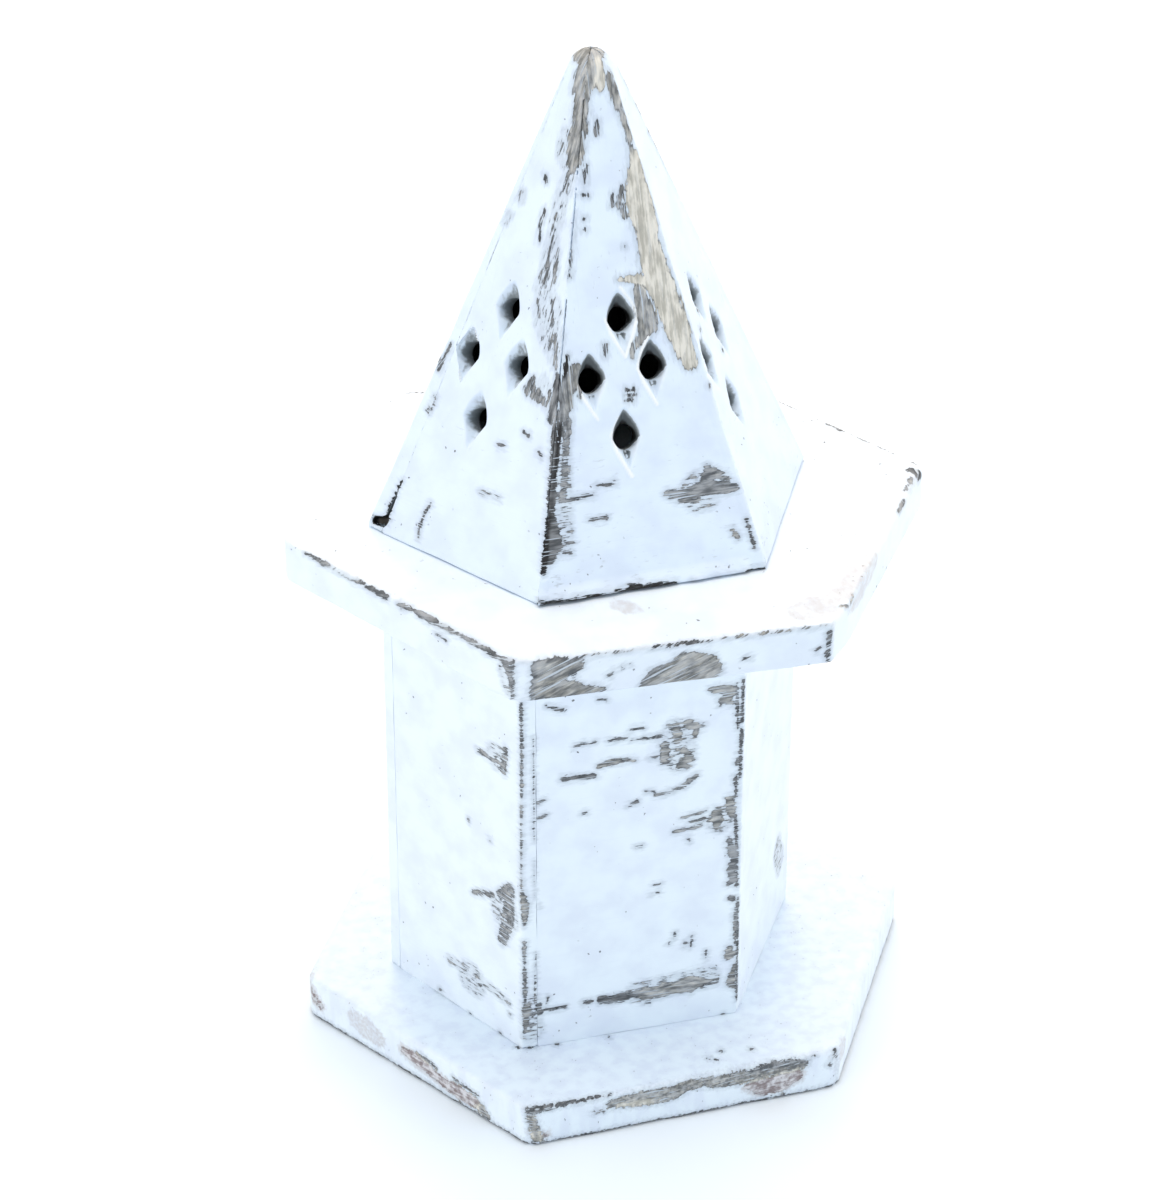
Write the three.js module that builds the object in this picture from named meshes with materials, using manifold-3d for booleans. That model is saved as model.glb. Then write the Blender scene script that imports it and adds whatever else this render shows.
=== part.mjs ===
import * as THREE from 'three';
import { mergeVertices } from 'three/addons/utils/BufferGeometryUtils.js';
import Module from 'manifold-3d';

const wasm = await Module();
wasm.setup();

// An incense house of painted boards: a hexagonal base, a hollow column, a top plate and a
// pointed roof that swings back on a small hinge. Millimetres, Z up, X to the right, and the
// front towards -Y, from the middle of the base's underside.

// Base and top plate: solid slabs, sawn and sanded by hand, so no two corners are alike.
// Corners run front left, front right, right, back right, back left, left. out and turn
// move a corner off the regular hexagon. cut is how far back the flat sawn off it starts, and
// cutAfter how far on it ends where that differs.
const baseReach = 70;
const baseThickness = 10;
const baseArris = 0.8;
const baseCorners = [
  { out: 0, turn: 0, cut: 1.6 },
  { out: -1.4, turn: 1.2, cut: 1.6 },
  { out: 0, turn: -0.7, cut: 1.8 },
  { out: 0.2, turn: 0.4, cut: 1.6 },
  { out: 0, turn: -0.4, cut: 2 },
  { out: 0, turn: 0.6, cut: 1.4 },
];
const plateReach = 69.6;
const plateThickness = 9;
const plateArris = 0.8;
const plateTurn = -2.7;
const plateCorners = [
  { out: -0.4, turn: 0.6, cut: 1.4, cutAfter: 3.8 },
  { out: -1.2, turn: -0.6, cut: 1.4, cutAfter: 7.8 },
  { out: 1, turn: 0.3, cut: 1.4, cutAfter: 2 },
  { out: -0.2, turn: 0, cut: 3 },
  { out: 0, turn: 0.5, cut: 2.6 },
  { out: 1.3, turn: 0.5, cut: 1.4 },
];

// Column: six boards round a hollow. Each board's edge laps the next one and shows on its face.
const columnReach = 46.6;
const columnHeight = 101.4;
const columnBoard = 5;
const columnCentre = new THREE.Vector2(-3.7, -0.1);
const columnHalf = [
  { out: 1.1, turn: -4.3 },
  { out: -1.5, turn: -0.9 },
  { out: 0.2, turn: 0.2 },
];
const columnCorners = [...columnHalf, ...columnHalf];

// Roof: six pointed boards, glued edge to edge, with a tip sanded round.
const roofReach = 49.4;
const roofSharpHeight = 110.1;
const roofHeight = 101.7;
const roofBoard = 5;
const roofTurn = 2;
const roofCentre = new THREE.Vector2(-2.9, 5.4);
const roofLift = 0.4;
const tipRadius = 5;
const tipFlare = 32;
const seamShift = [0, 0, 0, 0, 0, 4.2];

// Vents: on each roof board four drilled holes with a pointed cut above and below, set out by
// eye. Shift and rise place a board's vents, and drift is each hole's slip off the diamond.
const ventHoleRadius = 2.6;
const ventHalfWidth = 3.3;
const ventPointUp = 6.6;
const ventPointDown = 7.4;
const ventArch = 1.7;
const ventTail = 1.35;
const ventSteps = 5;
const ventSpreadAcross = 6.7;
const ventSpreadUp = 12;
const ventShift = [-1.7, -4.3, -1, 0.6, -2, -2.9];
const ventRise = [43.7, 42.1, 43.2, 42.6, 43.4, 42.8];
const ventDrift = {
  top: [0.8, -0.4],
  left: [0, -0.1],
  right: [-0.1, 1],
  bottom: [-0.6, -0.5],
};
const ventCutLift = 0.5;

// Fixings: glue lines, and panel pins from the plates into the column boards, set a little
// below the surface.
const glueLine = 0.3;
const pinSink = 0.3;
const pinRadius = 0.6;
const pinHeadRadius = 1.2;
const pinHeadHeight = 0.8;
const pinLength = 24;
const pinPoint = 1.2;
const pinClearance = 0.25;

// Burner plate: a flat brass disc under the roof, held by a round-headed nail.
const burnerRadius = 16;
const burnerSheet = 0.8;
const nailRadius = 0.7;
const nailHeadRadius = 2;
const nailHeadHeight = 0.8;
const nailLength = 7;
const nailPoint = 1.4;

// Hinge: two brass leaves with knuckles on one pin, behind the roof's back edge.
const hingeBoard = 3;
const hingeLength = 22;
const leafWidth = 9;
const leafSheet = 0.8;
const leafGap = 0.2;
const knuckleRadius = 1.4;
const hingePinRadius = 0.6;
const hingePinHead = 0.5;
const hingeBoreClearance = 0.2;
const knuckleGap = 0.3;
const middleKnuckle = 8;
const screwSpacing = 13;
const screwShankRadius = 0.6;
const screwHeadRadius = 1.5;
const screwHeadHeight = 0.8;
const screwLength = 4.4;
const screwPoint = 1.2;
const screwSlotWidth = 0.4;
const screwSlotDepth = 0.35;
const screwClearance = 0.2;

// Fineness: flats on round work, steps on rounded edges, and points that count as one
const discSides = 48;
const roundSides = 24;
const smallSides = 16;
const arcSteps = 8;
const arrisSteps = 2;
const weldDistance = 1e-4;

// Shape of a hexagon, in degrees
const sides = 6;
const sixth = 60;
const firstCorner = -120;
const rightAngle = 90;
const radians = THREE.MathUtils.degToRad;

// Levels worked out from the sizes above
const plateUnder = baseThickness + columnHeight;
const plateTop = plateUnder + plateThickness;
const roofApothem = roofReach * Math.cos(radians(sixth / 2));
const roofSlope = Math.atan2(roofSharpHeight, roofApothem);
const hingeHeight = leafGap + knuckleRadius;
const hingeBehind = (leafGap + knuckleRadius - (hingeHeight - roofLift) * Math.cos(roofSlope))
  / Math.sin(roofSlope);
const hingeY = roofApothem + hingeBehind;
const leafUpwards = Math.PI - roofSlope;
const hands = { left: -1, right: 1 };
const longCut = 2 * (plateTop + roofSharpHeight);
const overcut = 1;

// Materials
const paint = new THREE.MeshStandardMaterial({ color: 0xe6eff8, roughness: 0.7, metalness: 0 });
const brass = new THREE.MeshStandardMaterial({ color: 0xb08d4a, roughness: 0.4, metalness: 1 });
const steel = new THREE.MeshStandardMaterial({ color: 0x9a9a98, roughness: 0.45, metalness: 1 });

// Solids for cutting and joining
function toSolid(geometry) {
  const bare = geometry.index ? geometry.toNonIndexed() : geometry.clone();
  bare.deleteAttribute('normal');
  bare.deleteAttribute('uv');
  const merged = mergeVertices(bare, weldDistance);
  const index = merged.index.array;
  const triangles = [];
  for (let start = 0; start < index.length; start += 3) {
    const [a, b, c] = index.slice(start, start + 3);
    if (a !== b && b !== c && c !== a) {
      triangles.push(a, b, c);
    }
  }
  const mesh = new wasm.Mesh({
    numProp: 3,
    vertProperties: new Float32Array(merged.attributes.position.array),
    triVerts: new Uint32Array(triangles),
  });
  return new wasm.Manifold(mesh);
}

function toGeometry(solid) {
  const mesh = solid.getMesh();
  const geometry = new THREE.BufferGeometry();
  geometry.setAttribute('position', new THREE.BufferAttribute(mesh.vertProperties, 3));
  geometry.setIndex(new THREE.BufferAttribute(mesh.triVerts, 1));
  geometry.computeVertexNormals();
  return geometry;
}

function toMesh(name, solid, material) {
  const mesh = new THREE.Mesh(toGeometry(solid), material);
  mesh.name = name;
  return mesh;
}

// A round bar along Z, from low to high
function roundBar(radius, low, high, count = smallSides) {
  const bar = new THREE.CylinderGeometry(radius, radius, high - low, count);
  bar.rotateX(Math.PI / 2);
  bar.translate(0, 0, (low + high) / 2);
  return bar;
}

// A block between two corners
function block(low, high) {
  const box = new THREE.BoxGeometry(high.x - low.x, high.y - low.y, high.z - low.z);
  box.translate((low.x + high.x) / 2, (low.y + high.y) / 2, (low.z + high.z) / 2);
  return box;
}

// Everything within reach on the side of a plane that its normal points to
function sideOf(point, normal) {
  const box = new THREE.BoxGeometry(longCut, longCut, longCut);
  box.translate(0, 0, longCut / 2);
  const turn = new THREE.Quaternion().setFromUnitVectors(new THREE.Vector3(0, 0, 1), normal);
  box.applyQuaternion(turn);
  box.translate(point.x, point.y, point.z);
  return toSolid(box);
}

// Corners of a hexagon as it was sawn
function hexagon(reach, turn, corners) {
  return corners.map((corner, k) => {
    const angle = radians(firstCorner + k * sixth + turn + corner.turn);
    const distance = reach + corner.out;
    return new THREE.Vector2(distance * Math.cos(angle), distance * Math.sin(angle));
  });
}

function towards(from, to) {
  return to.clone().sub(from).normalize();
}

// The outline with each corner cut off flat
function cutCorners(points, corners) {
  return points.flatMap((point, k) => {
    const before = points[(k + sides - 1) % sides];
    const after = points[(k + 1) % sides];
    const { cut, cutAfter = cut } = corners[k];
    return [
      point.clone().addScaledVector(towards(point, before), cut),
      point.clone().addScaledVector(towards(point, after), cutAfter),
    ];
  });
}

// A slab with its arrises rubbed down, from z = 0 up
function slab(points, thickness, arris) {
  const geometry = new THREE.ExtrudeGeometry(new THREE.Shape(points), {
    depth: thickness - 2 * arris,
    bevelEnabled: true,
    bevelThickness: arris,
    bevelSize: arris,
    bevelOffset: -arris,
    bevelSegments: arrisSteps,
  });
  geometry.translate(0, 0, arris);
  return toSolid(geometry);
}

// Inner corner of a ring of boards: where the inner faces of both neighbours meet
function innerCorner(points, k, thickness) {
  const before = towards(points[(k + sides - 1) % sides], points[k]);
  const after = towards(points[k], points[(k + 1) % sides]);
  const inward = after.clone().sub(before).normalize();
  const halfAngle = Math.acos(-before.dot(after)) / 2;
  return points[k].clone().addScaledVector(inward, thickness / Math.sin(halfAngle));
}

// How far along the next face a lapping board's edge shows, where that face's end is cut square
function lapWidth(points, k, thickness) {
  const after = towards(points[k], points[(k + 1) % sides]);
  return innerCorner(points, k, thickness).sub(points[k]).dot(after);
}

const columnPoints = hexagon(columnReach, 0, columnCorners);

// Outline of one column board: outer face, lap round the corner, inner face
function columnOutline(k) {
  const next = (k + 1) % sides;
  const along = towards(columnPoints[k], columnPoints[next]);
  const alongNext = towards(columnPoints[next], columnPoints[(k + 2) % sides]);
  const start = lapWidth(columnPoints, k, columnBoard) + glueLine;
  const lap = lapWidth(columnPoints, next, columnBoard);
  return [
    columnPoints[k].clone().addScaledVector(along, start),
    columnPoints[next].clone(),
    columnPoints[next].clone().addScaledVector(alongNext, lap),
    innerCorner(columnPoints, next, columnBoard),
    innerCorner(columnPoints, k, columnBoard).addScaledVector(along, glueLine),
  ];
}

// Where the panel pins of a column board stand: half way along it, in the middle of its wall
function pinPlace(k) {
  const next = (k + 1) % sides;
  const outer = columnPoints[k].clone().add(columnPoints[next]).divideScalar(2);
  const inner = innerCorner(columnPoints, k, columnBoard);
  inner.add(innerCorner(columnPoints, next, columnBoard)).divideScalar(2);
  return outer.add(inner).divideScalar(2).add(columnCentre);
}

// A panel pin, point up at z = length, with its head's flat face on z = 0
function panelPin() {
  const profile = [
    new THREE.Vector2(0, 0),
    new THREE.Vector2(pinHeadRadius, 0),
    new THREE.Vector2(pinHeadRadius, pinHeadHeight),
    new THREE.Vector2(pinRadius, pinHeadHeight),
    new THREE.Vector2(pinRadius, pinLength - pinPoint),
    new THREE.Vector2(0, pinLength),
  ];
  return turned(profile, smallSides);
}

// The hole that a panel pin leaves, open beyond its head's flat face
function pinHole() {
  const headDepth = pinHeadHeight + pinClearance;
  const head = toSolid(roundBar(pinHeadRadius + pinClearance, -overcut, headDepth));
  const shank = toSolid(roundBar(pinRadius + pinClearance, 0, pinLength + pinClearance));
  return head.add(shank);
}

// A profile of points (radius, height) turned round Z
function turned(profile, count = roundSides) {
  const geometry = new THREE.LatheGeometry(profile, count);
  geometry.rotateX(Math.PI / 2);
  return toSolid(geometry);
}

// Panel pins of the base point up from its underside, those of the top plate point down
function placeBasePin(k) {
  const place = pinPlace(k);
  return new THREE.Matrix4().makeTranslation(place.x, place.y, pinSink);
}

function placePlatePin(k) {
  const place = pinPlace(k);
  const over = new THREE.Matrix4().makeRotationX(Math.PI);
  return new THREE.Matrix4().makeTranslation(place.x, place.y, plateTop - pinSink).multiply(over);
}

function moved(solid, matrix) {
  return solid.transform(matrix.elements);
}

function makeBasePlate() {
  const points = hexagon(baseReach, 0, baseCorners);
  let plate = slab(cutCorners(points, baseCorners), baseThickness, baseArris);
  for (let k = 0; k < sides; k += 1) {
    plate = plate.subtract(moved(pinHole(), placeBasePin(k)));
  }
  return toMesh('base_plate', plate, paint);
}

function makeTopPlate() {
  const points = hexagon(plateReach, plateTurn, plateCorners);
  let plate = slab(cutCorners(points, plateCorners), plateThickness, plateArris);
  plate = plate.translate([0, 0, plateUnder]);
  for (let k = 0; k < sides; k += 1) {
    plate = plate.subtract(moved(pinHole(), placePlatePin(k)));
  }
  const nailHole = toSolid(roundBar(nailRadius + pinClearance, -nailLength, overcut));
  plate = plate.subtract(moved(nailHole, roofFrame()));
  for (const side of Object.values(hands)) {
    plate = plate.subtract(moved(screwHole(), placePlateScrew(side)));
  }
  return toMesh('top_plate', plate, paint);
}

function makeColumnBoards() {
  const boards = new THREE.Group();
  for (let k = 0; k < sides; k += 1) {
    const shape = new THREE.Shape(columnOutline(k));
    const geometry = new THREE.ExtrudeGeometry(shape, { depth: columnHeight, bevelEnabled: false });
    geometry.translate(columnCentre.x, columnCentre.y, baseThickness);
    const board = toSolid(geometry)
      .subtract(moved(pinHole(), placeBasePin(k)))
      .subtract(moved(pinHole(), placePlatePin(k)));
    boards.add(toMesh(`column_board_${k + 1}`, board, paint));
  }
  return boards;
}

function makePanelPins() {
  const pins = new THREE.Group();
  for (let k = 0; k < sides; k += 1) {
    pins.add(toMesh(`base_pin_${k + 1}`, moved(panelPin(), placeBasePin(k)), steel));
    pins.add(toMesh(`plate_pin_${k + 1}`, moved(panelPin(), placePlatePin(k)), steel));
  }
  return pins;
}

// The roof's own frame: its centre on the top plate, turned with the roof
function roofFrame() {
  const turn = new THREE.Matrix4().makeRotationZ(radians(roofTurn));
  return new THREE.Matrix4().makeTranslation(roofCentre.x, roofCentre.y, plateTop).multiply(turn);
}

const roofPoints = hexagon(roofReach, 0, Array(sides).fill({ out: 0, turn: 0 }));

function roofCorner(k, scale = 1) {
  const point = roofPoints[k % sides];
  return new THREE.Vector3(point.x * scale, point.y * scale, 0);
}

// A six-sided pyramid with its foot at z = low, as wide as the roof's slope makes it there
function pyramid(height, low) {
  const footReach = (height - low) / Math.tan(roofSlope) / Math.cos(radians(sixth / 2));
  const geometry = new THREE.ConeGeometry(footReach, height - low, sides);
  geometry.rotateX(Math.PI / 2);
  geometry.rotateZ(radians(sixth / 2));
  geometry.translate(0, 0, (height + low) / 2);
  return toSolid(geometry);
}

// The round-nosed form that the six boards are sanded to at the tip
function sandedNose() {
  const centre = roofHeight - tipRadius;
  const profile = [];
  for (let step = 0; step <= arcSteps; step += 1) {
    const angle = radians((rightAngle - tipFlare) * step / arcSteps);
    const across = tipRadius * Math.sin(angle);
    profile.push(new THREE.Vector2(across, centre + tipRadius * Math.cos(angle)));
  }
  const last = profile[profile.length - 1];
  const drop = last.y + overcut;
  profile.push(new THREE.Vector2(last.x + drop * Math.tan(radians(tipFlare)), -overcut));
  profile.push(new THREE.Vector2(0, -overcut));
  return turned(profile.reverse());
}

// The glued joint at a corner of the roof: a plane through the seam and the inner corner
function roofJoint(k) {
  const apex = new THREE.Vector3(0, 0, roofSharpHeight);
  const along = roofCorner(k + 1).sub(roofCorner(k)).normalize();
  const seam = roofCorner(k).addScaledVector(along, seamShift[k]);
  const innerScale = 1 - roofBoard / Math.sin(roofSlope) / roofApothem;
  const inner = roofCorner(k, innerScale);
  const normal = apex.clone().sub(seam).cross(inner.sub(seam)).normalize();
  if (normal.dot(along) < 0) {
    normal.negate();
  }
  return { point: seam, normal };
}

// A roof board's own axes: X along its foot, Y up the slope, Z out of the face
function faceFrame(k) {
  const along = roofCorner(k + 1).sub(roofCorner(k)).normalize();
  const middle = roofCorner(k).add(roofCorner(k + 1)).divideScalar(2);
  const up = new THREE.Vector3(0, 0, roofSharpHeight).sub(middle).normalize();
  const out = along.clone().cross(up);
  return new THREE.Matrix4().makeBasis(along, up, out).setPosition(middle);
}

// The other half of a curve from the X axis to a point on the Y axis, on its way back
function otherHalf(curve) {
  return curve.slice(1).reverse().map(([x, y]) => [-x, y]);
}

// Outline of a vent's carved cut on the face, anticlockwise: a pointed arch above the hole and
// a hollow-sided tail below it
function ventOutline() {
  const upper = [];
  const lower = [];
  for (let step = 0; step < ventSteps; step += 1) {
    const share = step / ventSteps;
    upper.push([ventHalfWidth * (1 - share ** ventArch), ventPointUp * share]);
    lower.push([-ventHalfWidth * (1 - share) ** ventTail, -ventPointDown * share]);
  }
  const top = [0, ventPointUp];
  const bottom = [0, -ventPointDown];
  return [...upper, top, ...otherHalf(upper), ...lower, bottom, ...otherHalf(lower)];
}

// One vent: a drilled hole and a carved cut that gets deeper towards it
function ventCut() {
  const hole = toSolid(roundBar(ventHoleRadius, -roofBoard - overcut, overcut));
  const spread = (roofBoard + ventCutLift) / roofBoard;
  const rim = ventOutline().map(([x, y]) => [x * spread, y * spread, ventCutLift]);
  const deepest = [0, 0, -roofBoard];
  const middle = [0, 0, ventCutLift];
  const faces = [];
  for (let side = 0; side < rim.length; side += 1) {
    const next = (side + 1) % rim.length;
    faces.push(...rim[next], ...rim[side], ...deepest);
    faces.push(...rim[side], ...rim[next], ...middle);
  }
  const points = new THREE.BufferGeometry();
  points.setAttribute('position', new THREE.Float32BufferAttribute(faces, 3));
  return hole.add(toSolid(points));
}

function ventPlaces(k) {
  const diamond = {
    top: [0, ventSpreadUp],
    left: [-ventSpreadAcross, 0],
    right: [ventSpreadAcross, 0],
    bottom: [0, -ventSpreadUp],
  };
  return Object.entries(diamond).map(([name, [across, up]]) => [
    ventShift[k] + across + ventDrift[name][0],
    ventRise[k] + up + ventDrift[name][1],
  ]);
}

function makeRoofBoards() {
  const boards = new THREE.Group();
  const innerHeight = roofSharpHeight - roofBoard / Math.cos(roofSlope);
  const shell = pyramid(roofSharpHeight, 0)
    .subtract(pyramid(innerHeight, -overcut))
    .intersect(sandedNose());
  for (let k = 0; k < sides; k += 1) {
    const start = roofJoint(k);
    const end = roofJoint((k + 1) % sides);
    start.point.addScaledVector(start.normal, glueLine);
    const outwards = roofCorner(k).add(roofCorner(k + 1)).normalize();
    let board = shell
      .intersect(sideOf(new THREE.Vector3(), outwards))
      .intersect(sideOf(start.point, start.normal))
      .intersect(sideOf(end.point, end.normal.negate()));
    for (const [across, up] of ventPlaces(k)) {
      const place = faceFrame(k).multiply(new THREE.Matrix4().makeTranslation(across, up, 0));
      board = board.subtract(moved(ventCut(), place));
    }
    board = board.translate([0, 0, roofLift]);
    if (k === hingeBoard) {
      for (const side of Object.values(hands)) {
        board = board.subtract(moved(screwHole(), placeRoofScrew(side)));
      }
    }
    boards.add(toMesh(`roof_board_${k + 1}`, moved(board, roofFrame()), paint));
  }
  return boards;
}

function makeBurnerPlate() {
  const hole = toSolid(roundBar(nailRadius + pinClearance, -overcut, burnerSheet + overcut));
  const disc = toSolid(roundBar(burnerRadius, 0, burnerSheet, discSides)).subtract(hole);
  return toMesh('burner_plate', moved(disc, roofFrame()), brass);
}

// The burner plate's nail: point, shank and a domed head
function makeBurnerNail() {
  const tip = pinClearance - nailLength;
  const profile = [
    new THREE.Vector2(0, tip),
    new THREE.Vector2(nailRadius, tip + nailPoint),
    new THREE.Vector2(nailRadius, burnerSheet),
  ];
  for (let step = 0; step < arcSteps; step += 1) {
    const angle = radians(rightAngle * step / arcSteps);
    const rise = nailHeadHeight * Math.sin(angle);
    profile.push(new THREE.Vector2(nailHeadRadius * Math.cos(angle), burnerSheet + rise));
  }
  profile.push(new THREE.Vector2(0, burnerSheet + nailHeadHeight));
  return toMesh('burner_nail', moved(turned(profile, smallSides), roofFrame()), brass);
}

// The hinge's own frame: X along the pin, Y to the back, Z up, from the pin's middle
function hingeFrame() {
  return roofFrame().multiply(new THREE.Matrix4().makeTranslation(0, hingeY, hingeHeight));
}

function knuckle(low, high, radius) {
  const bar = roundBar(radius, low, high, roundSides);
  bar.rotateY(Math.PI / 2);
  return toSolid(bar);
}

// A flat leaf that runs back from under the pin; the roof's leaf is the same, turned upright
function hingeLeaf(knuckles, rooms) {
  const half = hingeLength / 2;
  const low = new THREE.Vector3(-half, 0, -knuckleRadius);
  const high = new THREE.Vector3(half, knuckleRadius + leafWidth, leafSheet - knuckleRadius);
  let leaf = toSolid(block(low, high));
  for (const [from, to] of knuckles) {
    leaf = leaf.add(knuckle(from, to, knuckleRadius));
  }
  for (const [from, to] of rooms) {
    leaf = leaf.subtract(knuckle(from, to, knuckleRadius + knuckleGap));
  }
  leaf = leaf.subtract(knuckle(-half - overcut, half + overcut, hingePinRadius + hingeBoreClearance));
  for (const side of Object.values(hands)) {
    leaf = leaf.subtract(moved(leafHole(), leafScrewPlace(side)));
  }
  return leaf;
}

// Where a leaf's screws sit, on its face towards the room
function leafScrewPlace(side) {
  const back = knuckleRadius + leafWidth / 2;
  return new THREE.Matrix4().makeTranslation(side * screwSpacing / 2, back, leafSheet - knuckleRadius);
}

// The countersunk hole in a leaf, its rim on z = 0
function leafHole() {
  const rim = screwHeadRadius + screwClearance;
  const throat = screwShankRadius + screwClearance;
  return turned([
    new THREE.Vector2(0, -leafSheet - overcut),
    new THREE.Vector2(throat, -leafSheet - overcut),
    new THREE.Vector2(throat, -leafSheet),
    new THREE.Vector2(rim, 0),
    new THREE.Vector2(rim, overcut),
    new THREE.Vector2(0, overcut),
  ], smallSides);
}

// A countersunk screw, its slotted head flush with z = 0
function screw() {
  const body = turned([
    new THREE.Vector2(0, -screwLength),
    new THREE.Vector2(screwShankRadius, screwPoint - screwLength),
    new THREE.Vector2(screwShankRadius, -screwHeadHeight),
    new THREE.Vector2(screwHeadRadius, 0),
    new THREE.Vector2(0, 0),
  ], smallSides);
  const slotReach = screwHeadRadius + overcut;
  const slotLow = new THREE.Vector3(-slotReach, -screwSlotWidth / 2, -screwSlotDepth);
  const slotHigh = new THREE.Vector3(slotReach, screwSlotWidth / 2, overcut);
  return body.subtract(toSolid(block(slotLow, slotHigh)));
}

// The hole that a screw leaves in the wood below its leaf
function screwHole() {
  return toSolid(roundBar(screwShankRadius + screwClearance, -screwLength - screwClearance, 0));
}

function placePlateScrew(side) {
  return hingeFrame().multiply(leafScrewPlace(side));
}

// The upright leaf lies along the roof's back face
function roofLeafTurn() {
  const turn = new THREE.Matrix4().makeRotationX(leafUpwards);
  const flip = new THREE.Matrix4().makeScale(1, 1, -1);
  return turn.multiply(flip);
}

// Seen in the roof's own frame, where the boards are cut before they are placed
function placeRoofScrew(side) {
  const axis = new THREE.Matrix4().makeTranslation(0, hingeY, hingeHeight);
  const lying = leafScrewPlace(side);
  const standing = new THREE.Matrix4().makeRotationX(leafUpwards);
  const outwards = new THREE.Matrix4().makeRotationX(Math.PI);
  const spot = new THREE.Vector3().setFromMatrixPosition(lying);
  const place = new THREE.Matrix4().makeTranslation(spot.x, spot.y, -spot.z);
  return axis.multiply(standing).multiply(place).multiply(outwards);
}

function makeHinge() {
  const half = hingeLength / 2;
  const middle = middleKnuckle / 2;
  const outer = [[-half, -middle - knuckleGap], [middle + knuckleGap, half]];
  const outerRooms = [[-half - overcut, -middle], [middle, half + overcut]];
  const inner = [[-middle, middle]];
  const innerRooms = [[-middle - knuckleGap, middle + knuckleGap]];
  const plateLeaf = moved(hingeLeaf(outer, innerRooms), hingeFrame());
  const roofLeafPlace = hingeFrame().multiply(roofLeafTurn());
  const roofLeaf = moved(hingeLeaf(inner, outerRooms), roofLeafPlace);
  const pin = knuckle(-half - hingePinHead, half + hingePinHead, hingePinRadius);
  const hinge = new THREE.Group();
  hinge.add(toMesh('hinge_leaf_plate', plateLeaf, brass));
  hinge.add(toMesh('hinge_leaf_roof', roofLeaf, brass));
  hinge.add(toMesh('hinge_pin', moved(pin, hingeFrame()), brass));
  for (const [hand, side] of Object.entries(hands)) {
    const onPlate = moved(screw(), placePlateScrew(side));
    const onRoof = moved(screw(), roofFrame().multiply(placeRoofScrew(side)));
    hinge.add(toMesh(`plate_screw_${hand}`, onPlate, brass));
    hinge.add(toMesh(`roof_screw_${hand}`, onRoof, brass));
  }
  return hinge;
}

const incenseHouse = new THREE.Group();
incenseHouse.add(makeBasePlate());
incenseHouse.add(makeColumnBoards());
incenseHouse.add(makeTopPlate());
incenseHouse.add(makePanelPins());
incenseHouse.add(makeRoofBoards());
incenseHouse.add(makeBurnerPlate());
incenseHouse.add(makeBurnerNail());
incenseHouse.add(makeHinge());

export default incenseHouse;
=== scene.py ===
import math
import bpy
import numpy as np
from mathutils import Matrix, Vector
from mathutils.bvhtree import BVHTree


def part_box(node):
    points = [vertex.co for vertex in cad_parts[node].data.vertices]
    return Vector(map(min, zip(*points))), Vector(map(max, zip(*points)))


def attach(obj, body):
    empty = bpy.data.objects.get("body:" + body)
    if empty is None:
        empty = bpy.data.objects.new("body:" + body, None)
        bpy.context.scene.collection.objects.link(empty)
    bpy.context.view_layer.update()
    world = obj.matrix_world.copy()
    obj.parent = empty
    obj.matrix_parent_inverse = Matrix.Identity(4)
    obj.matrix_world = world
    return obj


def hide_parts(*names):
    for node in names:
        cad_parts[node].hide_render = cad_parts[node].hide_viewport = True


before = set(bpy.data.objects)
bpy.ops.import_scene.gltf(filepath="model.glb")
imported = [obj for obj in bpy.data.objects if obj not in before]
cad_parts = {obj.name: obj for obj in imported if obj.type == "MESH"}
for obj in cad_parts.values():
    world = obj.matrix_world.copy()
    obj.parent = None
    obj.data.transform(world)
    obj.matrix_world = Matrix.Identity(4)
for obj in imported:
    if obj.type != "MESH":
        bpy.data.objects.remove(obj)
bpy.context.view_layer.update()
scene = bpy.context.scene
mm = 0.001
sideNumbers = range(1, 7)      # the six sides of the house, counted from the front one


# sRGB hex to the linear colour that a shader socket takes
def hexColour(text):
    channels = [int(text[start:start + 2], 16) / 255 for start in (1, 3, 5)]
    linear = [c / 12.92 if c <= 0.04045 else ((c + 0.055) / 1.055) ** 2.4 for c in channels]
    return (*linear, 1)


# adds one node with its settings; an input is a value, a node or the socket that feeds it, and
# goes by name, or by number where a node gives two inputs the same name
def addNode(tree, kind, settings=None, inputs=None):
    node = tree.nodes.new("ShaderNode" + kind)
    for name, value in (settings or {}).items():
        setattr(node, name, value)
    for key, value in (inputs or {}).items():
        if isinstance(value, bpy.types.Node):
            value = next(socket for socket in value.outputs if socket.enabled)
        if isinstance(value, bpy.types.NodeSocket):
            tree.links.new(value, node.inputs[key])
        else:
            node.inputs[key].default_value = value
    return node


# settings that many nodes share
plus, minus, times, larger = ({"operation": name} for name in ("ADD", "SUBTRACT", "MULTIPLY", "MAXIMUM"))
eased = {"interpolation_type": "SMOOTHSTEP"}
asColour, asValue = {"data_type": "RGBA"}, {"data_type": "FLOAT"}


def newMaterial(name):
    material = bpy.data.materials.new(name)
    material.use_nodes = True
    tree = material.node_tree
    tree.nodes.clear()
    return material, tree


# noise drawn out along the grain, less its middle value; lengths are in mm, along and across it
def streaks(tree, surface, along, across, detail, roughness):
    found = []
    for sizes in ((along, across, along), (across, along, along)):
        scale = [1 / (size * mm) for size in sizes]
        scaled = addNode(tree, "Mapping", {}, {"Vector": surface["face"], "Scale": scale})
        noise = {"Vector": scaled, "Scale": 1.0, "Detail": detail, "Roughness": roughness}
        found.append(addNode(tree, "TexNoise", {}, noise))
    noise = addNode(tree, "Mix", asValue, {"Factor": surface["turn"], "A": found[0], "B": found[1]})
    return addNode(tree, "Math", minus, {0: noise, 1: 0.5})


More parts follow.
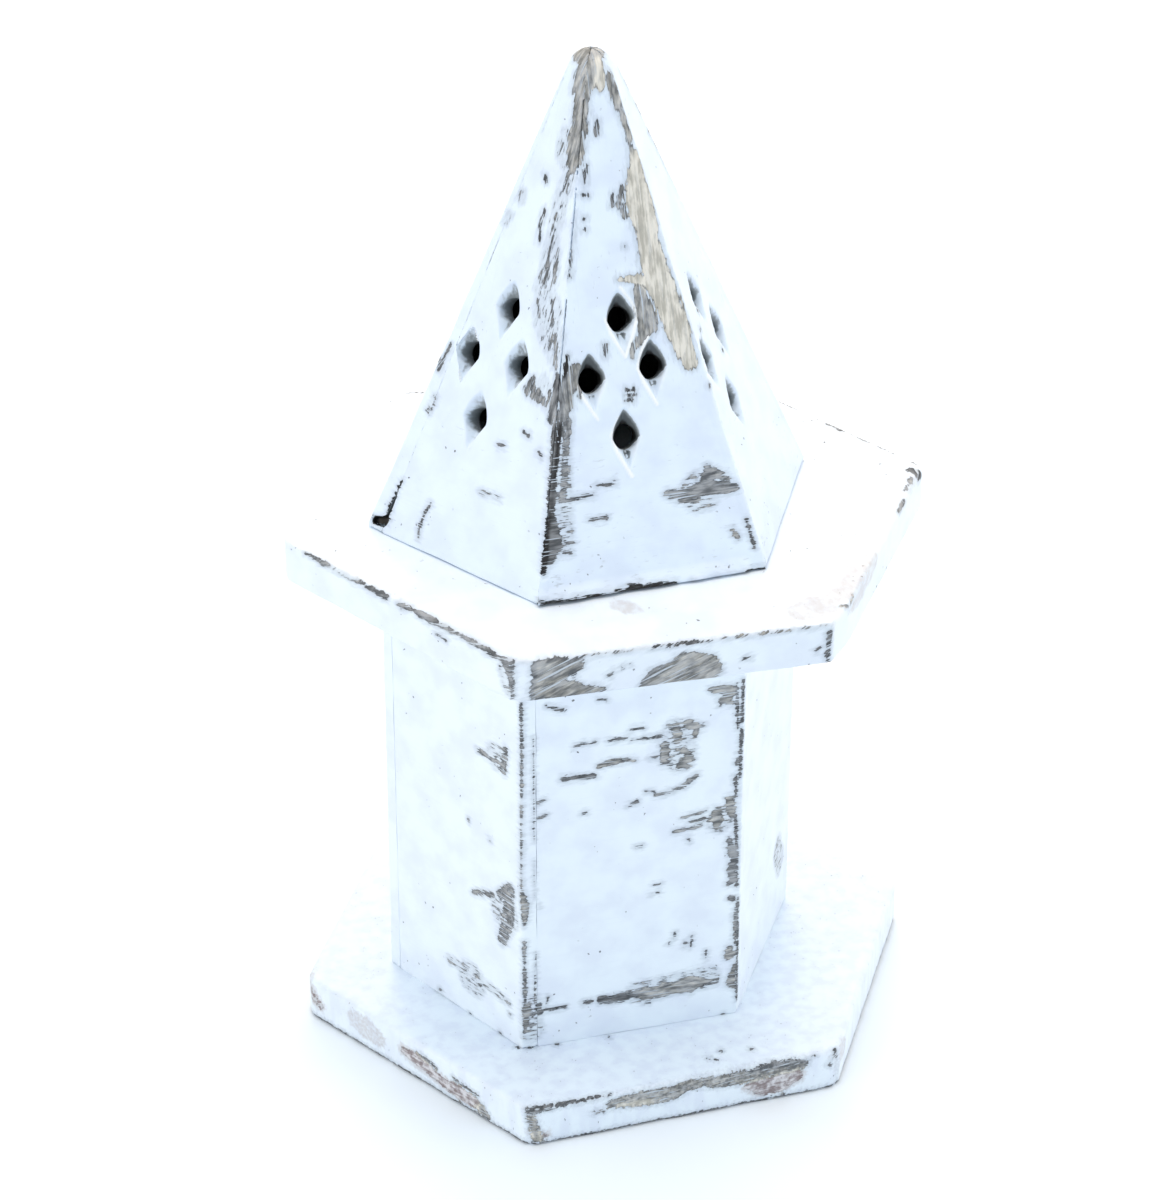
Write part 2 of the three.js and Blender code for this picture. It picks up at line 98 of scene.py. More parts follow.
paintedWoodLook = {
    "paint": "#e9f3fb", "paintShade": "#e0e9f5", "thickPaint": "#f4f7f8", "paintVeil": "#929da9",
    # the roof's tint is painted shade: it darkens the roof boards' paint a little, as they tilt up into
    # more light
    "roofShadeTint": "#f7fafe", "stain": "#d0c8c6", "edge": "#484c50", "crackAndShadow": "#1c1d1f",
    "greyLight": "#a2a5a9", "greyDark": "#585c60", "tanLight": "#e4e0d6", "tanDark": "#b3b0a6",
    "paleLight": "#d8d7db", "paleDark": "#887c7d",
    "shadedWallLight": "#8d9498", "shadedWallDark": "#5a6063", "sootAndShade": "#131314",
    "paintRoughness": 0.5, "woodRoughness": 0.85, "ior": 1.5,
    "paintThickness": 0.16, "grainDepth": 0.1, "brushDepth": 0.02,      # mm
    "specks": (1.3, 1.0), "clouds": (9.0, 3.0),        # mm across, and the noise's detail
    # streaks: mm along and across the grain, then the noise's detail and roughness
    "ragged": (2.4, 0.8, 4.0, 0.55), "scratch": (6.0, 0.26, 2.0, 0.55),
    "line": (11.0, 0.4, 1.0, 0.55),                                     # paint left in scratches
    "blotch": (5.0, 1.6, 3.0, 0.55), "grain": (16.0, 0.5, 4.0, 0.65), "brush": (22.0, 0.45, 3.0, 0.55),
    "raggedReach": 1.8, "scratchReach": 1.1,      # mm that each moves the edge of a rub
    "veilRaggedness": 1.6, "toneDrift": 1.2, "blotchShare": 1.6, "cleanTan": 0.9,
    # masks, as settings of Map Range nodes; those of bare, veil, stained and rim are mm inside a
    # rub, those of the walls' painted shade and of soot mm inside a vent, and the others levels of noise or
    # tone
    "masks": {
        "bare": {"From Min": -0.08, "From Max": 0.1},
        "veil": {"From Min": -1.5, "From Max": 0.3, "To Max": 0.4},
        "stained": {"From Min": -1.6, "From Max": 0.3, "To Max": 0.5},
        "rim": {"From Min": 0.05, "From Max": 0.45, "To Min": 0.75, "To Max": 0.0},
        "rimRoom": {"From Min": 0.42, "From Max": 0.58},
        "rimOffPale": {"To Min": 1.0, "To Max": 0.15},
        "offLines": {"From Min": 0.12, "From Max": 0.15, "To Min": 1.0, "To Max": 0.15},
        "pale": {"From Min": 1.0, "From Max": 2.0},
        "crackAndShadow": {"From Min": -0.9, "From Max": -0.1, "To Min": 1.0, "To Max": 0.0},
        "lightGrain": {"From Min": -0.26, "From Max": 0.26},
        "clouded": {"From Min": 0.35, "From Max": 0.7},
        "brushed": {"From Min": -0.2, "From Max": -0.08, "To Min": 0.25, "To Max": 0.0},
        "speck": {"From Min": 0.735, "From Max": 0.76, "To Max": 0.8},
        "speckRoom": {"From Min": 0.5, "From Max": 0.62},
        "shadedWallLight": {"From Min": 0.0, "From Max": 0.7},
        "shadedWallDark": {"From Min": 0.5, "From Max": 2.0},
        "sootAndShade": {"From Min": 3.4, "From Max": 5.0},
    },
}


# the piece's own attributes (face is a place on it, turn is 0 where its grain runs level and 1 where
# it runs up, wear and inside are in mm) and the noises that the paint and the wood share
def woodSurface(tree, look):
    surface = {}
    for name in ("face", "turn", "wear", "tone", "inside", "ridge", "roofShade"):
        attribute = addNode(tree, "Attribute", {"attribute_name": name})
        surface[name] = attribute.outputs["Vector" if name == "face" else "Fac"]
    for name in ("specks", "clouds"):
        size, detail = look[name]
        noise = {"Vector": surface["face"], "Scale": 1 / (size * mm), "Detail": detail}
        surface[name] = addNode(tree, "TexNoise", {}, noise)
    surface["ragged"] = streaks(tree, surface, *look["ragged"])
    surface["raggedStep"] = addNode(tree, "Math", times, {0: surface["ragged"], 1: look["raggedReach"]})
    return surface


# where the paint is rubbed off, torn along the grain, with lines of it left in the scratches
def rubbedPlaces(tree, look, surface):
    masks = look["masks"]
    scratch = streaks(tree, surface, *look["scratch"])
    scratchStep = addNode(tree, "Math", times, {0: scratch, 1: look["scratchReach"]})
    torn = addNode(tree, "Math", plus, {0: surface["wear"], 1: surface["raggedStep"]})
    torn = addNode(tree, "Math", plus, {0: torn, 1: scratchStep})
    toneStep = addNode(tree, "Math", times, {0: surface["ragged"], 1: look["toneDrift"]})
    tone = addNode(tree, "Math", plus, {0: surface["tone"], 1: toneStep})
    isTan = addNode(tree, "MapRange", eased, {"Value": tone})
    isPale = addNode(tree, "MapRange", eased, {"Value": tone, **masks["pale"]})
    line = streaks(tree, surface, *look["line"])
    offLines = addNode(tree, "MapRange", eased, {"Value": line, **masks["offLines"]})
    cleanTan = addNode(tree, "Math", times, {0: isTan, 1: look["cleanTan"]})
    offLines = addNode(tree, "Math", larger, {0: offLines, 1: cleanTan})
    bare = addNode(tree, "MapRange", eased, {"Value": torn, **masks["bare"]})
    bare = addNode(tree, "Math", times, {0: bare, 1: offLines})
    return torn, bare, isTan, isPale


# grey, tan or pale wood with its grain, a broken dark line along the torn paint, and black cracks, which
# also paint shadow and shade
def bareWood(tree, look, surface, torn, isTan, isPale):
    masks = look["masks"]
    grain = streaks(tree, surface, *look["grain"])
    blotch = streaks(tree, surface, *look["blotch"])
    blotchStep = addNode(tree, "Math", times, {0: blotch, 1: look["blotchShare"]})
    shade = addNode(tree, "Math", plus, {0: grain, 1: blotchStep})
    lightGrain = addNode(tree, "MapRange", eased, {"Value": shade, **masks["lightGrain"]})
    woods = []
    for kind in ("grey", "tan", "pale"):
        colours = {"A": hexColour(look[kind + "Dark"]), "B": hexColour(look[kind + "Light"])}
        woods.append(addNode(tree, "Mix", asColour, {"Factor": lightGrain, **colours}))
    wood = addNode(tree, "Mix", asColour, {"Factor": isTan, "A": woods[0], "B": woods[1]})
    wood = addNode(tree, "Mix", asColour, {"Factor": isPale, "A": wood, "B": woods[2]})
    rim = addNode(tree, "MapRange", eased, {"Value": torn, **masks["rim"]})
    rimRoom = addNode(tree, "MapRange", eased, {"Value": surface["specks"], **masks["rimRoom"]})
    rimOffPale = addNode(tree, "MapRange", {}, {"Value": isPale, **masks["rimOffPale"]})
    rim = addNode(tree, "Math", times, {0: rim, 1: rimRoom})
    rim = addNode(tree, "Math", times, {0: rim, 1: rimOffPale})
    wood = addNode(tree, "Mix", asColour, {"Factor": rim, "A": wood, "B": hexColour(look["edge"])})
    isCrackAndShadow = addNode(tree, "MapRange", eased, {"Value": surface["tone"], **masks["crackAndShadow"]})
    wood = addNode(tree, "Mix", asColour, {"Factor": isCrackAndShadow, "A": wood, "B": hexColour(look["crackAndShadow"])})
    return wood, grain


# white paint with clouds and brush marks in it, painted shade that darkens it a little on the roof boards,
# grey veils and stains where it is thin, and lighter ridges where it is thick
def whitePaint(tree, look, surface, isPale):
    masks = look["masks"]
    brush = streaks(tree, surface, *look["brush"])
    brushed = addNode(tree, "MapRange", eased, {"Value": brush, **masks["brushed"]})
    clouded = addNode(tree, "MapRange", eased, {"Value": surface["clouds"], **masks["clouded"]})
    thinReach = look["raggedReach"] * look["veilRaggedness"]
    thin = addNode(tree, "Math", times, {0: surface["ragged"], 1: thinReach})
    thin = addNode(tree, "Math", plus, {0: surface["wear"], 1: thin})
    veil = addNode(tree, "MapRange", eased, {"Value": thin, **masks["veil"]})
    stained = addNode(tree, "MapRange", eased, {"Value": thin, **masks["stained"]})
    stained = addNode(tree, "Math", times, {0: stained, 1: isPale})
    paint = hexColour(look["paint"])
    layers = ((clouded, "paintShade", "MIX"), (brushed, "paintShade", "MIX"),
              (surface["roofShade"], "roofShadeTint", "MULTIPLY"), (veil, "paintVeil", "MIX"),
              (stained, "stain", "MIX"), (surface["ridge"], "thickPaint", "MIX"))
    for share, colour, way in layers:
        paint = addNode(tree, "Mix", {**asColour, "blend_type": way},
                        {"Factor": share, "A": paint, "B": hexColour(look[colour])})
    return paint, brush


# chalky white paint, brushed on boards and sanded through: brush marks, grey veils where it is
# thin, torn edges with a dark line here and there, grey or tan wood in the rubbed places, and bare
# walls in the vents, darkened inwards with painted shade and soot
def paintedWood(look):
    material, tree = newMaterial("sanded_white_paint")
    masks = look["masks"]
    surface = woodSurface(tree, look)
    torn, bare, isTan, isPale = rubbedPlaces(tree, look, surface)
    wood, grain = bareWood(tree, look, surface, torn, isTan, isPale)
    paint, brush = whitePaint(tree, look, surface, isPale)

    speck = addNode(tree, "MapRange", eased, {"Value": surface["specks"], **masks["speck"]})
    speckRoom = addNode(tree, "MapRange", eased, {"Value": surface["clouds"], **masks["speckRoom"]})
    speck = addNode(tree, "Math", times, {0: speck, 1: speckRoom})
    bare = addNode(tree, "Math", larger, {0: bare, 1: speck})
    colour = addNode(tree, "Mix", asColour, {"Factor": bare, "A": paint, "B": wood})
    # painted shade: past the paint, the bare walls of the vents darken inwards to near black; that black is
    # real soot on the roof's inside and painted shade in the chip
    inside = addNode(tree, "Math", plus, {0: surface["inside"], 1: surface["raggedStep"]})
    for name in ("shadedWallLight", "shadedWallDark", "sootAndShade"):
        share = addNode(tree, "MapRange", eased, {"Value": inside, **masks[name]})
        colour = addNode(tree, "Mix", asColour, {"Factor": share, "A": colour, "B": hexColour(look[name])})

    sunk = addNode(tree, "Math", times, {0: bare, 1: -look["paintThickness"]})
    grainHeight = addNode(tree, "Math", times, {0: grain, 1: look["grainDepth"]})
    grainHeight = addNode(tree, "Math", times, {0: grainHeight, 1: bare})
    brushHeight = addNode(tree, "Math", times, {0: brush, 1: look["brushDepth"]})
    height = addNode(tree, "Math", plus, {0: sunk, 1: grainHeight})
    height = addNode(tree, "Math", plus, {0: height, 1: brushHeight})
    bump = addNode(tree, "Bump", {}, {"Strength": 1.0, "Distance": mm, "Height": height})
    roughness = addNode(tree, "Mix", asValue,
                        {"Factor": bare, "A": look["paintRoughness"], "B": look["woodRoughness"]})
    shader = addNode(tree, "BsdfPrincipled", {},
                     {"Base Color": colour, "Roughness": roughness, "Normal": bump, "IOR": look["ior"]})
    addNode(tree, "OutputMaterial", {}, {"Surface": shader})
    return material


brassLook = {
    "bright": "#ab966c", "dull": "#83704f",
    "patch": 5.0, "rolledAlong": 9.0, "rolledAcross": 0.15, "markDepth": 0.02,      # mm
    "patchDetail": 5.0, "markDetail": 2.0, "markStrength": 0.5,
    "dulled": {"From Min": 0.42, "From Max": 0.66},
    "roughness": {"From Min": 0.35, "From Max": 0.65, "To Min": 0.3, "To Max": 0.55},
}


# rolled brass sheet gone dull with smoke: brownish patches, fine rolling marks, a soft shine
def dullBrass(look):
    material, tree = newMaterial("dull_rolled_brass")
    place = addNode(tree, "TexCoord").outputs["Object"]
    size = 1 / (look["patch"] * mm)
    patch = addNode(tree, "TexNoise", {}, {"Vector": place, "Scale": size, "Detail": look["patchDetail"]})
    scale = [1 / (look[key] * mm) for key in ("rolledAlong", "rolledAcross", "rolledAcross")]
    rolled = addNode(tree, "Mapping", {}, {"Vector": place, "Scale": scale})
    marks = addNode(tree, "TexNoise", {}, {"Vector": rolled, "Scale": 1.0, "Detail": look["markDetail"]})
    dulled = addNode(tree, "MapRange", eased, {"Value": patch, **look["dulled"]})
    colours = {"A": hexColour(look["bright"]), "B": hexColour(look["dull"])}
    colour = addNode(tree, "Mix", asColour, {"Factor": dulled, **colours})
    roughness = addNode(tree, "MapRange", eased, {"Value": patch, **look["roughness"]})
    bump = addNode(tree, "Bump", {},
                   {"Strength": look["markStrength"], "Distance": look["markDepth"] * mm, "Height": marks})
    shader = addNode(tree, "BsdfPrincipled", {},
                     {"Base Color": colour, "Metallic": 1.0, "Roughness": roughness, "Normal": bump})
    addNode(tree, "OutputMaterial", {}, {"Surface": shader})
    return material


steelLook = {
    "bright": "#a8a6a2", "dull": "#6d6862",
    "patch": 1.6, "patchDetail": 4.0,              # mm; the noise's detail
    "greyed": {"From Min": 0.4, "From Max": 0.65},
    "roughness": {"From Min": 0.4, "From Max": 0.65, "To Min": 0.35, "To Max": 0.6},
}


# drawn steel wire of panel pins, greyed by damp: a plain metal with darker blotches
def drawnSteel(look):
    material, tree = newMaterial("drawn_steel_wire")
    place = addNode(tree, "TexCoord").outputs["Object"]
    size = 1 / (look["patch"] * mm)
    patch = addNode(tree, "TexNoise", {}, {"Vector": place, "Scale": size, "Detail": look["patchDetail"]})
    greyed = addNode(tree, "MapRange", eased, {"Value": patch, **look["greyed"]})
    colours = {"A": hexColour(look["bright"]), "B": hexColour(look["dull"])}
    colour = addNode(tree, "Mix", asColour, {"Factor": greyed, **colours})
    roughness = addNode(tree, "MapRange", eased, {"Value": patch, **look["roughness"]})
    shader = addNode(tree, "BsdfPrincipled", {},
                     {"Base Color": colour, "Metallic": 1.0, "Roughness": roughness})
    addNode(tree, "OutputMaterial", {}, {"Surface": shader})
    return material


print("materials")
woodFinish = paintedWood(paintedWoodLook)
brassFinish = dullBrass(brassLook)
steelFinish = drawnSteel(steelLook)


def dressWith(piece, material):
    piece.data.materials.clear()
    piece.data.materials.append(material)


def selectOnly(piece):
    bpy.ops.object.select_all(action="DESELECT")
    piece.select_set(True)
    bpy.context.view_layer.objects.active = piece


def applyModifier(piece, name, kind, settings):
    selectOnly(piece)
    modifier = piece.modifiers.new(name, kind)
    for key, value in settings.items():
        setattr(modifier, key, value)
    bpy.ops.object.modifier_apply(modifier=modifier.name)


def corners(mesh):
    flat = np.empty(len(mesh.vertices) * 3, np.float32)
    mesh.vertices.foreach_get("co", flat)
    return flat.reshape(-1, 3).astype(float)


def putCorners(mesh, points):
    mesh.vertices.foreach_set("co", points.astype(np.float32).ravel())
    mesh.update()


faceLook = {
    "azimuths": (-90, -30, 30, 90, 150, 210),    # degrees, the way that each side of the house faces
    "facing": 0.6, "flat": 0.9999,               # cosines: turned to that side, and in one plane
    "footBand": 0.5, "tipBand": 0.5,             # mm
}


# the frame of a board's outer face: X along its foot, Y up it, Z out, from the foot's middle; also
# half the foot's length and the face's height, in mm
def faceFrame(node, azimuth):
    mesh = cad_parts[node].data
    mesh.calc_loop_triangles()
    points = corners(mesh)
    index = np.array([t.vertices[:] for t in mesh.loop_triangles])
    a, b, c = points[index[:, 0]], points[index[:, 1]], points[index[:, 2]]
    crossed = np.cross(b - a, c - a)
    area = np.linalg.norm(crossed, axis=1)
    normals = crossed / np.maximum(area, 1e-15)[:, None]
    towards = np.array([math.cos(math.radians(azimuth)), math.sin(math.radians(azimuth)), 0])
    facing = (normals @ towards > faceLook["facing"]) & (area > 0)

    def sameWay(normal):
        return facing & (normals @ normal > faceLook["flat"])

    out = normals[max(np.flatnonzero(facing), key=lambda k: area[sameWay(normals[k])].sum())]
    along = np.cross([0, 0, 1], out)
    along = along / np.linalg.norm(along)
    rise = np.cross(out, along)
    onFace = points[index[sameWay(out)].ravel()]
    low = (onFace @ rise).min()
    foot = (onFace @ along)[onFace @ rise < low + faceLook["footBand"] * mm]
    middle = along * (foot.min() + foot.max()) / 2 + rise * low + out * (onFace @ out).mean()
    matrix = Matrix.Identity(4)
    for column, axis in enumerate((along, rise, out, middle)):
        for row in range(3):
            matrix[row][column] = axis[row]
    return matrix, (foot.max() - foot.min()) / 2 / mm, ((onFace @ rise).max() - low) / mm


print("board faces")
faces = {}
for number, azimuth in zip(sideNumbers, faceLook["azimuths"]):
    faces[f"roof{number}"] = faceFrame(f"roof_board_{number}", azimuth)
    faces[f"column{number}"] = faceFrame(f"column_board_{number}", azimuth)
    faces[f"base{number}"] = faceFrame("base_plate", azimuth)
    faces[f"plate{number}"] = faceFrame("top_plate", azimuth)
for name, node in (("baseTop", "base_plate"), ("plateTop", "top_plate")):
    faces[name] = (Matrix.Translation((0, 0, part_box(node)[1].z)), 0, 0)
tip = np.concatenate([corners(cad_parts[f"roof_board_{number}"].data) for number in sideNumbers])
tip = tip[tip[:, 2] > tip[:, 2].max() - faceLook["tipBand"] * mm]
faces["roofTop"] = (Matrix.Translation(tip.mean(0)), 0, 0)


# how each kind of rub shows: tone from -1 (dark crack, also painted shadow) through 0 (grey wood) and 1
# (tan wood) to
# 2 (pale pinkish wood), and how deep it may go, in mm; a shallow one breaks up into scratches, and
# one that stays below 0 thins the paint
bareDepth = 3.0
rubKinds = {
    "tan": {"tone": 1.0, "depth": bareDepth},
    "brown": {"tone": 0.3, "depth": bareDepth},
    "pale": {"tone": 2.0, "depth": bareDepth},
    "paleThin": {"tone": 2.0, "depth": 0.05},
    "grey": {"tone": 0.0, "depth": bareDepth},
    "faint": {"tone": 0.1, "depth": -0.15},
    "scratched": {"tone": 0.1, "depth": 0.2},
    "dark": {"tone": -0.45, "depth": bareDepth},
    "stain": {"tone": 2.0, "depth": -0.45},
    "veil": {"tone": 0.0, "depth": -0.28},
    "crackAndShadow": {"tone": -1.2, "depth": bareDepth},
}

# rubbed places on each face: (along, up, half width) in mm from the middle of the
# face's foot; a half width of 0 or less leaves only the scratches that the noise adds
roofRubs = {
    "roof1": {
        "tan": [
            [(0, 108.3, 0.9), (0, 106.3, 1.2), (-0.1, 104.3, 1.3), (-0.1, 102.7, 1)],
            [(5.7, 88.3, 1), (5.4, 84.5, 1.7), (5.5, 79.8, 2.8), (5.9, 76.7, 2.8), (6.5, 71.9, 2.3),
             (6.9, 67.2, 2.6), (7.6, 62.5, 3.1), (9.3, 57.5, 2.8), (10.6, 52.7, 2.6), (11.6, 48.3, 2.2),
             (12.6, 44.7, 1.6)],
            [(-0.4, 63.6, 0.4), (2, 63.3, 0.8), (5, 62.6, 1.3)],
        ],
        "brown": [
            [(1.9, 104.2, 1.1), (2.8, 101, 1.1), (3.4, 97.9, 0.7), (4.5, 94.6, 0.7), (5, 92.3, 0.6),
             (4.8, 90.4, 0.5), (5.5, 87.9, 0.8)],
            [(7.2, 85.4, 0.4), (8.3, 81.8, 0.4), (8.8, 79.8, 0.2)], [(9.9, 59.3, 1), (8.3, 56, 0.8)],
            [(3.3, 60.8, 1.3), (4.1, 57.5, 2), (4.6, 53.9, 2.2), (3.2, 51.6, 1.1), (1.2, 49.9, 0.8),
             (0.4, 47.5, 0.4)],
            [(-11.6, 46.7, 1.3), (-12.9, 44.1, 1.9), (-14.4, 42.4, 1.6), (-14.4, 39.8, 1.4),
             (-16, 37.5, 1.2)],
            [(-10.8, 43.7, 0.7), (-11.4, 41.1, 0.5)], [(17.9, 9.1, 0.4), (18.9, 7.5, 0.6)],
        ],
        "grey": [
            [(5.3, 18.9, 0.5), (8.2, 18, 1), (11.2, 18.3, 1.5), (13.8, 18.8, 1.8), (17.2, 18.1, 1.3),
             (19.6, 17.7, 0.7)],
            [(14.1, 22.6, 0.9), (13.9, 20.6, 1.7)],
        ],
        "scratched": [
            [(4.9, 18.6, 0.8), (8.7, 17.3, 1.2), (11, 16.6, 0.8)], [(15.3, 21.8, 0.8), (17.5, 19.4, 1.2)],
            [(2.4, 81.8, 0.7), (1.4, 78.8, 0.8), (2.4, 76.3, 0.7)],
            [(-14.7, 36.4, 1), (-15.7, 31, 0.8), (-16.5, 25.6, 0.7), (-17.5, 20.3, 0.8)],
        ],
        "dark": [
            [(-16.9, 36.3, 1.1), (-18.1, 31.4, 0.8), (-18.8, 26.8, 0.8), (-19.6, 22.1, 1),
             (-20.3, 18.3, 0.8), (-20.2, 14.3, 1.5), (-20.3, 11.3, 1.7), (-21.9, 8.2, 0.7)],
            [(-17.5, 20.6, 0.3), (-13.8, 20.6, 0.4), (-10.9, 20.8, 0.2)],
            [(-9.8, 22.5, 0.2), (-6.2, 22.5, 0.3)], [(-12.3, 15.7, 0.2), (-8.6, 15.7, 0.3)],
            [(-18, 12.2, 0.3), (-16.5, 11.7, 0.3)], [(-18.5, 9.9, 0.3), (-17.1, 9.4, 0.3)],
            [(-1.5, 95.7, 0.4), (-1.9, 93.1, 0.6)], [(-5, 87.3, 0.4), (-5.5, 83.5, 0.3)],
            [(-6.4, 81.5, 0.3), (-5.2, 81.3, 0.3)], [(-6.3, 76.7, 0.4)], [(-6.6, 74.5, 0.4)],
            [(0, 80.7, 0.3), (-0.1, 78.5, 0.4)], [(1.2, 80.2, 0.3)], [(1.4, 70.1, 0.3)],
            [(-5, 50.8, 0.4), (-5.2, 48.7, 0.4)], [(-1.6, 41, 0.3), (0, 40.9, 0.4)],
            [(-1.6, 40, 0.3), (0.1, 39.8, 0.4)], [(-1.7, 39, 0.3), (-0.4, 38.9, 0.3)],
            [(21.2, 10.7, 0.3), (22.3, 4.9, 0.3)],
        ],
        "crackAndShadow": [
            [(-13.2, 49.7, 0.4), (-15.2, 40.5, 0.7), (-17, 32.9, 0.6), (-18.8, 25.3, 0.6),
             (-20.5, 17.6, 0.7), (-22.3, 9.9, 0.8), (-23.2, 6.5, 0.6)],
            # painted shadow: a dark line along the front board's foot, where it stands over the plate
            [(-24.4, 0, 1), (-17, -0.3, 1.1), (-9, -0.3, 1), (-2, -0.2, 1.15), (4, -0.3, 0.95)],
            [(-5.2, 0, 1.25), (-3.4, 0, 1.3)], [(8, -0.3, 0.4), (20, -0.3, 0.5), (24, 0, 0.4)],
        ],
        "faint": [[(-17, 30, 2), (-19, 12, 2.5)], [(12, 18, 4)]],
    },
    "roof6": {
        "brown": [
            [(0.6, 107.9, 1.2), (0.6, 106.3, 2.4), (0.2, 104.1, 2.4), (0.5, 102.1, 1.8), (1.1, 99, 1.7),
             (1.7, 96.3, 1.7), (2.1, 93.5, 1.9), (2.5, 90.7, 2), (2.9, 88.3, 1.7), (3, 86.2, 0.9)],
            [(11.6, 41.9, 0.6), (13.3, 39.2, 0.9), (14.5, 36.9, 1)],
        ],
        "scratched": [
            [(6.4, 43.3, 0.6), (6.2, 40.8, 1.4), (8.7, 40.3, 1.2), (11.1, 39.5, 0.7)],
            [(4.6, 69.9, 0.3), (5, 67, 0.6), (5.5, 63.6, 0.4)], [(1.7, 66, 0.1), (2.1, 62.1, 0.3)],
            [(2.6, 58.9, 0.2), (4.3, 55.5, 0.3)], [(6.4, 60, 0.2), (7.6, 56, 0.3), (9, 52, 0.3)],
            [(9.3, 53.5, 0.4), (10.6, 49.5, 0.5), (11.2, 47.3, 0.4)],
        ],
        "veil": [
            [(2.7, 84.9, 1.1), (2.6, 81.9, 1.4), (2.2, 78.9, 1.5), (2.5, 72.3, 1.3), (2.8, 65.2, 1.3),
             (3.4, 61.5, 2)],
            [(4.4, 60, 2.4), (6.2, 56.5, 3.4), (8.4, 53, 2.6), (10.4, 49.3, 1.4)],
            [(9, 43, 1.5), (11.6, 40.5, 2)],
        ],
        "dark": [
            [(2.2, 85.6, 0.3), (2.4, 82.7, 0.3), (3.4, 81.3, 0.2)], [(-3.3, 83.2, 0.3), (-2.6, 82.1, 0.3)],
            [(-1.4, 76.6, 0.3), (-1.3, 74.5, 0.3), (-1, 72.1, 0.3), (-0.7, 70.4, 0.25)],
            [(2.5, 72.3, 0.3), (2.6, 69.4, 0.35), (2.8, 66.4, 0.35), (3.6, 61.6, 0.3)],
            [(7.1, 78.2, 0.3), (7.5, 74.6, 0.3), (8.2, 71, 0.3), (9.1, 65.4, 0.35)],
            [(-1.5, 102, 0.3), (-1.6, 100.7, 0.3)],
            [(12.5, 45.8, 0.5), (12.8, 43.5, 0.9), (13.2, 40.3, 1), (13.6, 36.6, 0.8)],
            [(7.5, 32.1, 0.3), (9, 31.9, 0.4)], [(12.6, 29.5, 0.4), (13.4, 28.8, 0.4)],
            [(2.1, 27.6, 0.3), (3.5, 27.9, 0.3)],
            [(-16.6, 43.1, 0.3), (-17.6, 39.3, 0.4), (-18.3, 37.4, 0.5)],
            [(-11.5, 10.3, 0.25), (-12.6, 7.3, 0.3), (-13, 4.2, 0.35), (-12.6, 2.2, 0.35)],
        ],
        "crackAndShadow": [
            # painted shade: the slot and the chip at the open joint's foot drawn black
            [(-20.6, 12, 0.3), (-21.4, 8.5, 0.4), (-22.2, 4.6, 0.5)],
            [(-25.2, 1.9, 0.6), (-23.6, 1.9, 0.9), (-22.2, 2.9, 0.8)],
            [(-26.6, 2.2, 0.3), (-25.4, 1.7, 0.4)],
        ],
        "faint": [
            [(-0.9, 92.6, 1), (-0.3, 89, 1.4), (1.7, 87.1, 1.4)],
            [(2.7, 84.9, 0.5), (2.5, 75.6, 0.7), (2.5, 68.9, 0.6), (3.5, 61.6, 0.8), (5.6, 58.2, 1.4),
             (9, 51, 1)],
            [(-7.9, 78.4, 0.5), (-7.9, 76.8, 0.5)], [(-9.9, 73, 0.5), (-10.2, 71.6, 0.5)],
            [(-17.2, 31.3, 0.6), (-18.1, 28.3, 0.6)], [(0.5, 16.7, 0.3), (5.7, 17.3, 0.3)],
        ],
    },
    "roofTop": {
        "brown": [[(-1.8, -1.2, 2.8), (0, -1.4, 2.4)]],
        "tan": [[(0.6, -2.6, 0.9), (0.8, -3.4, 0.9)]],
    },
    "roof2": {
        "grey": [[(-6.6, 52.2, 0.5)], [(-9.4, 48.9, 0.5)], [(-1, 39.9, 0.5)], [(-16.1, 39.3, 0.5)]],
    },
}
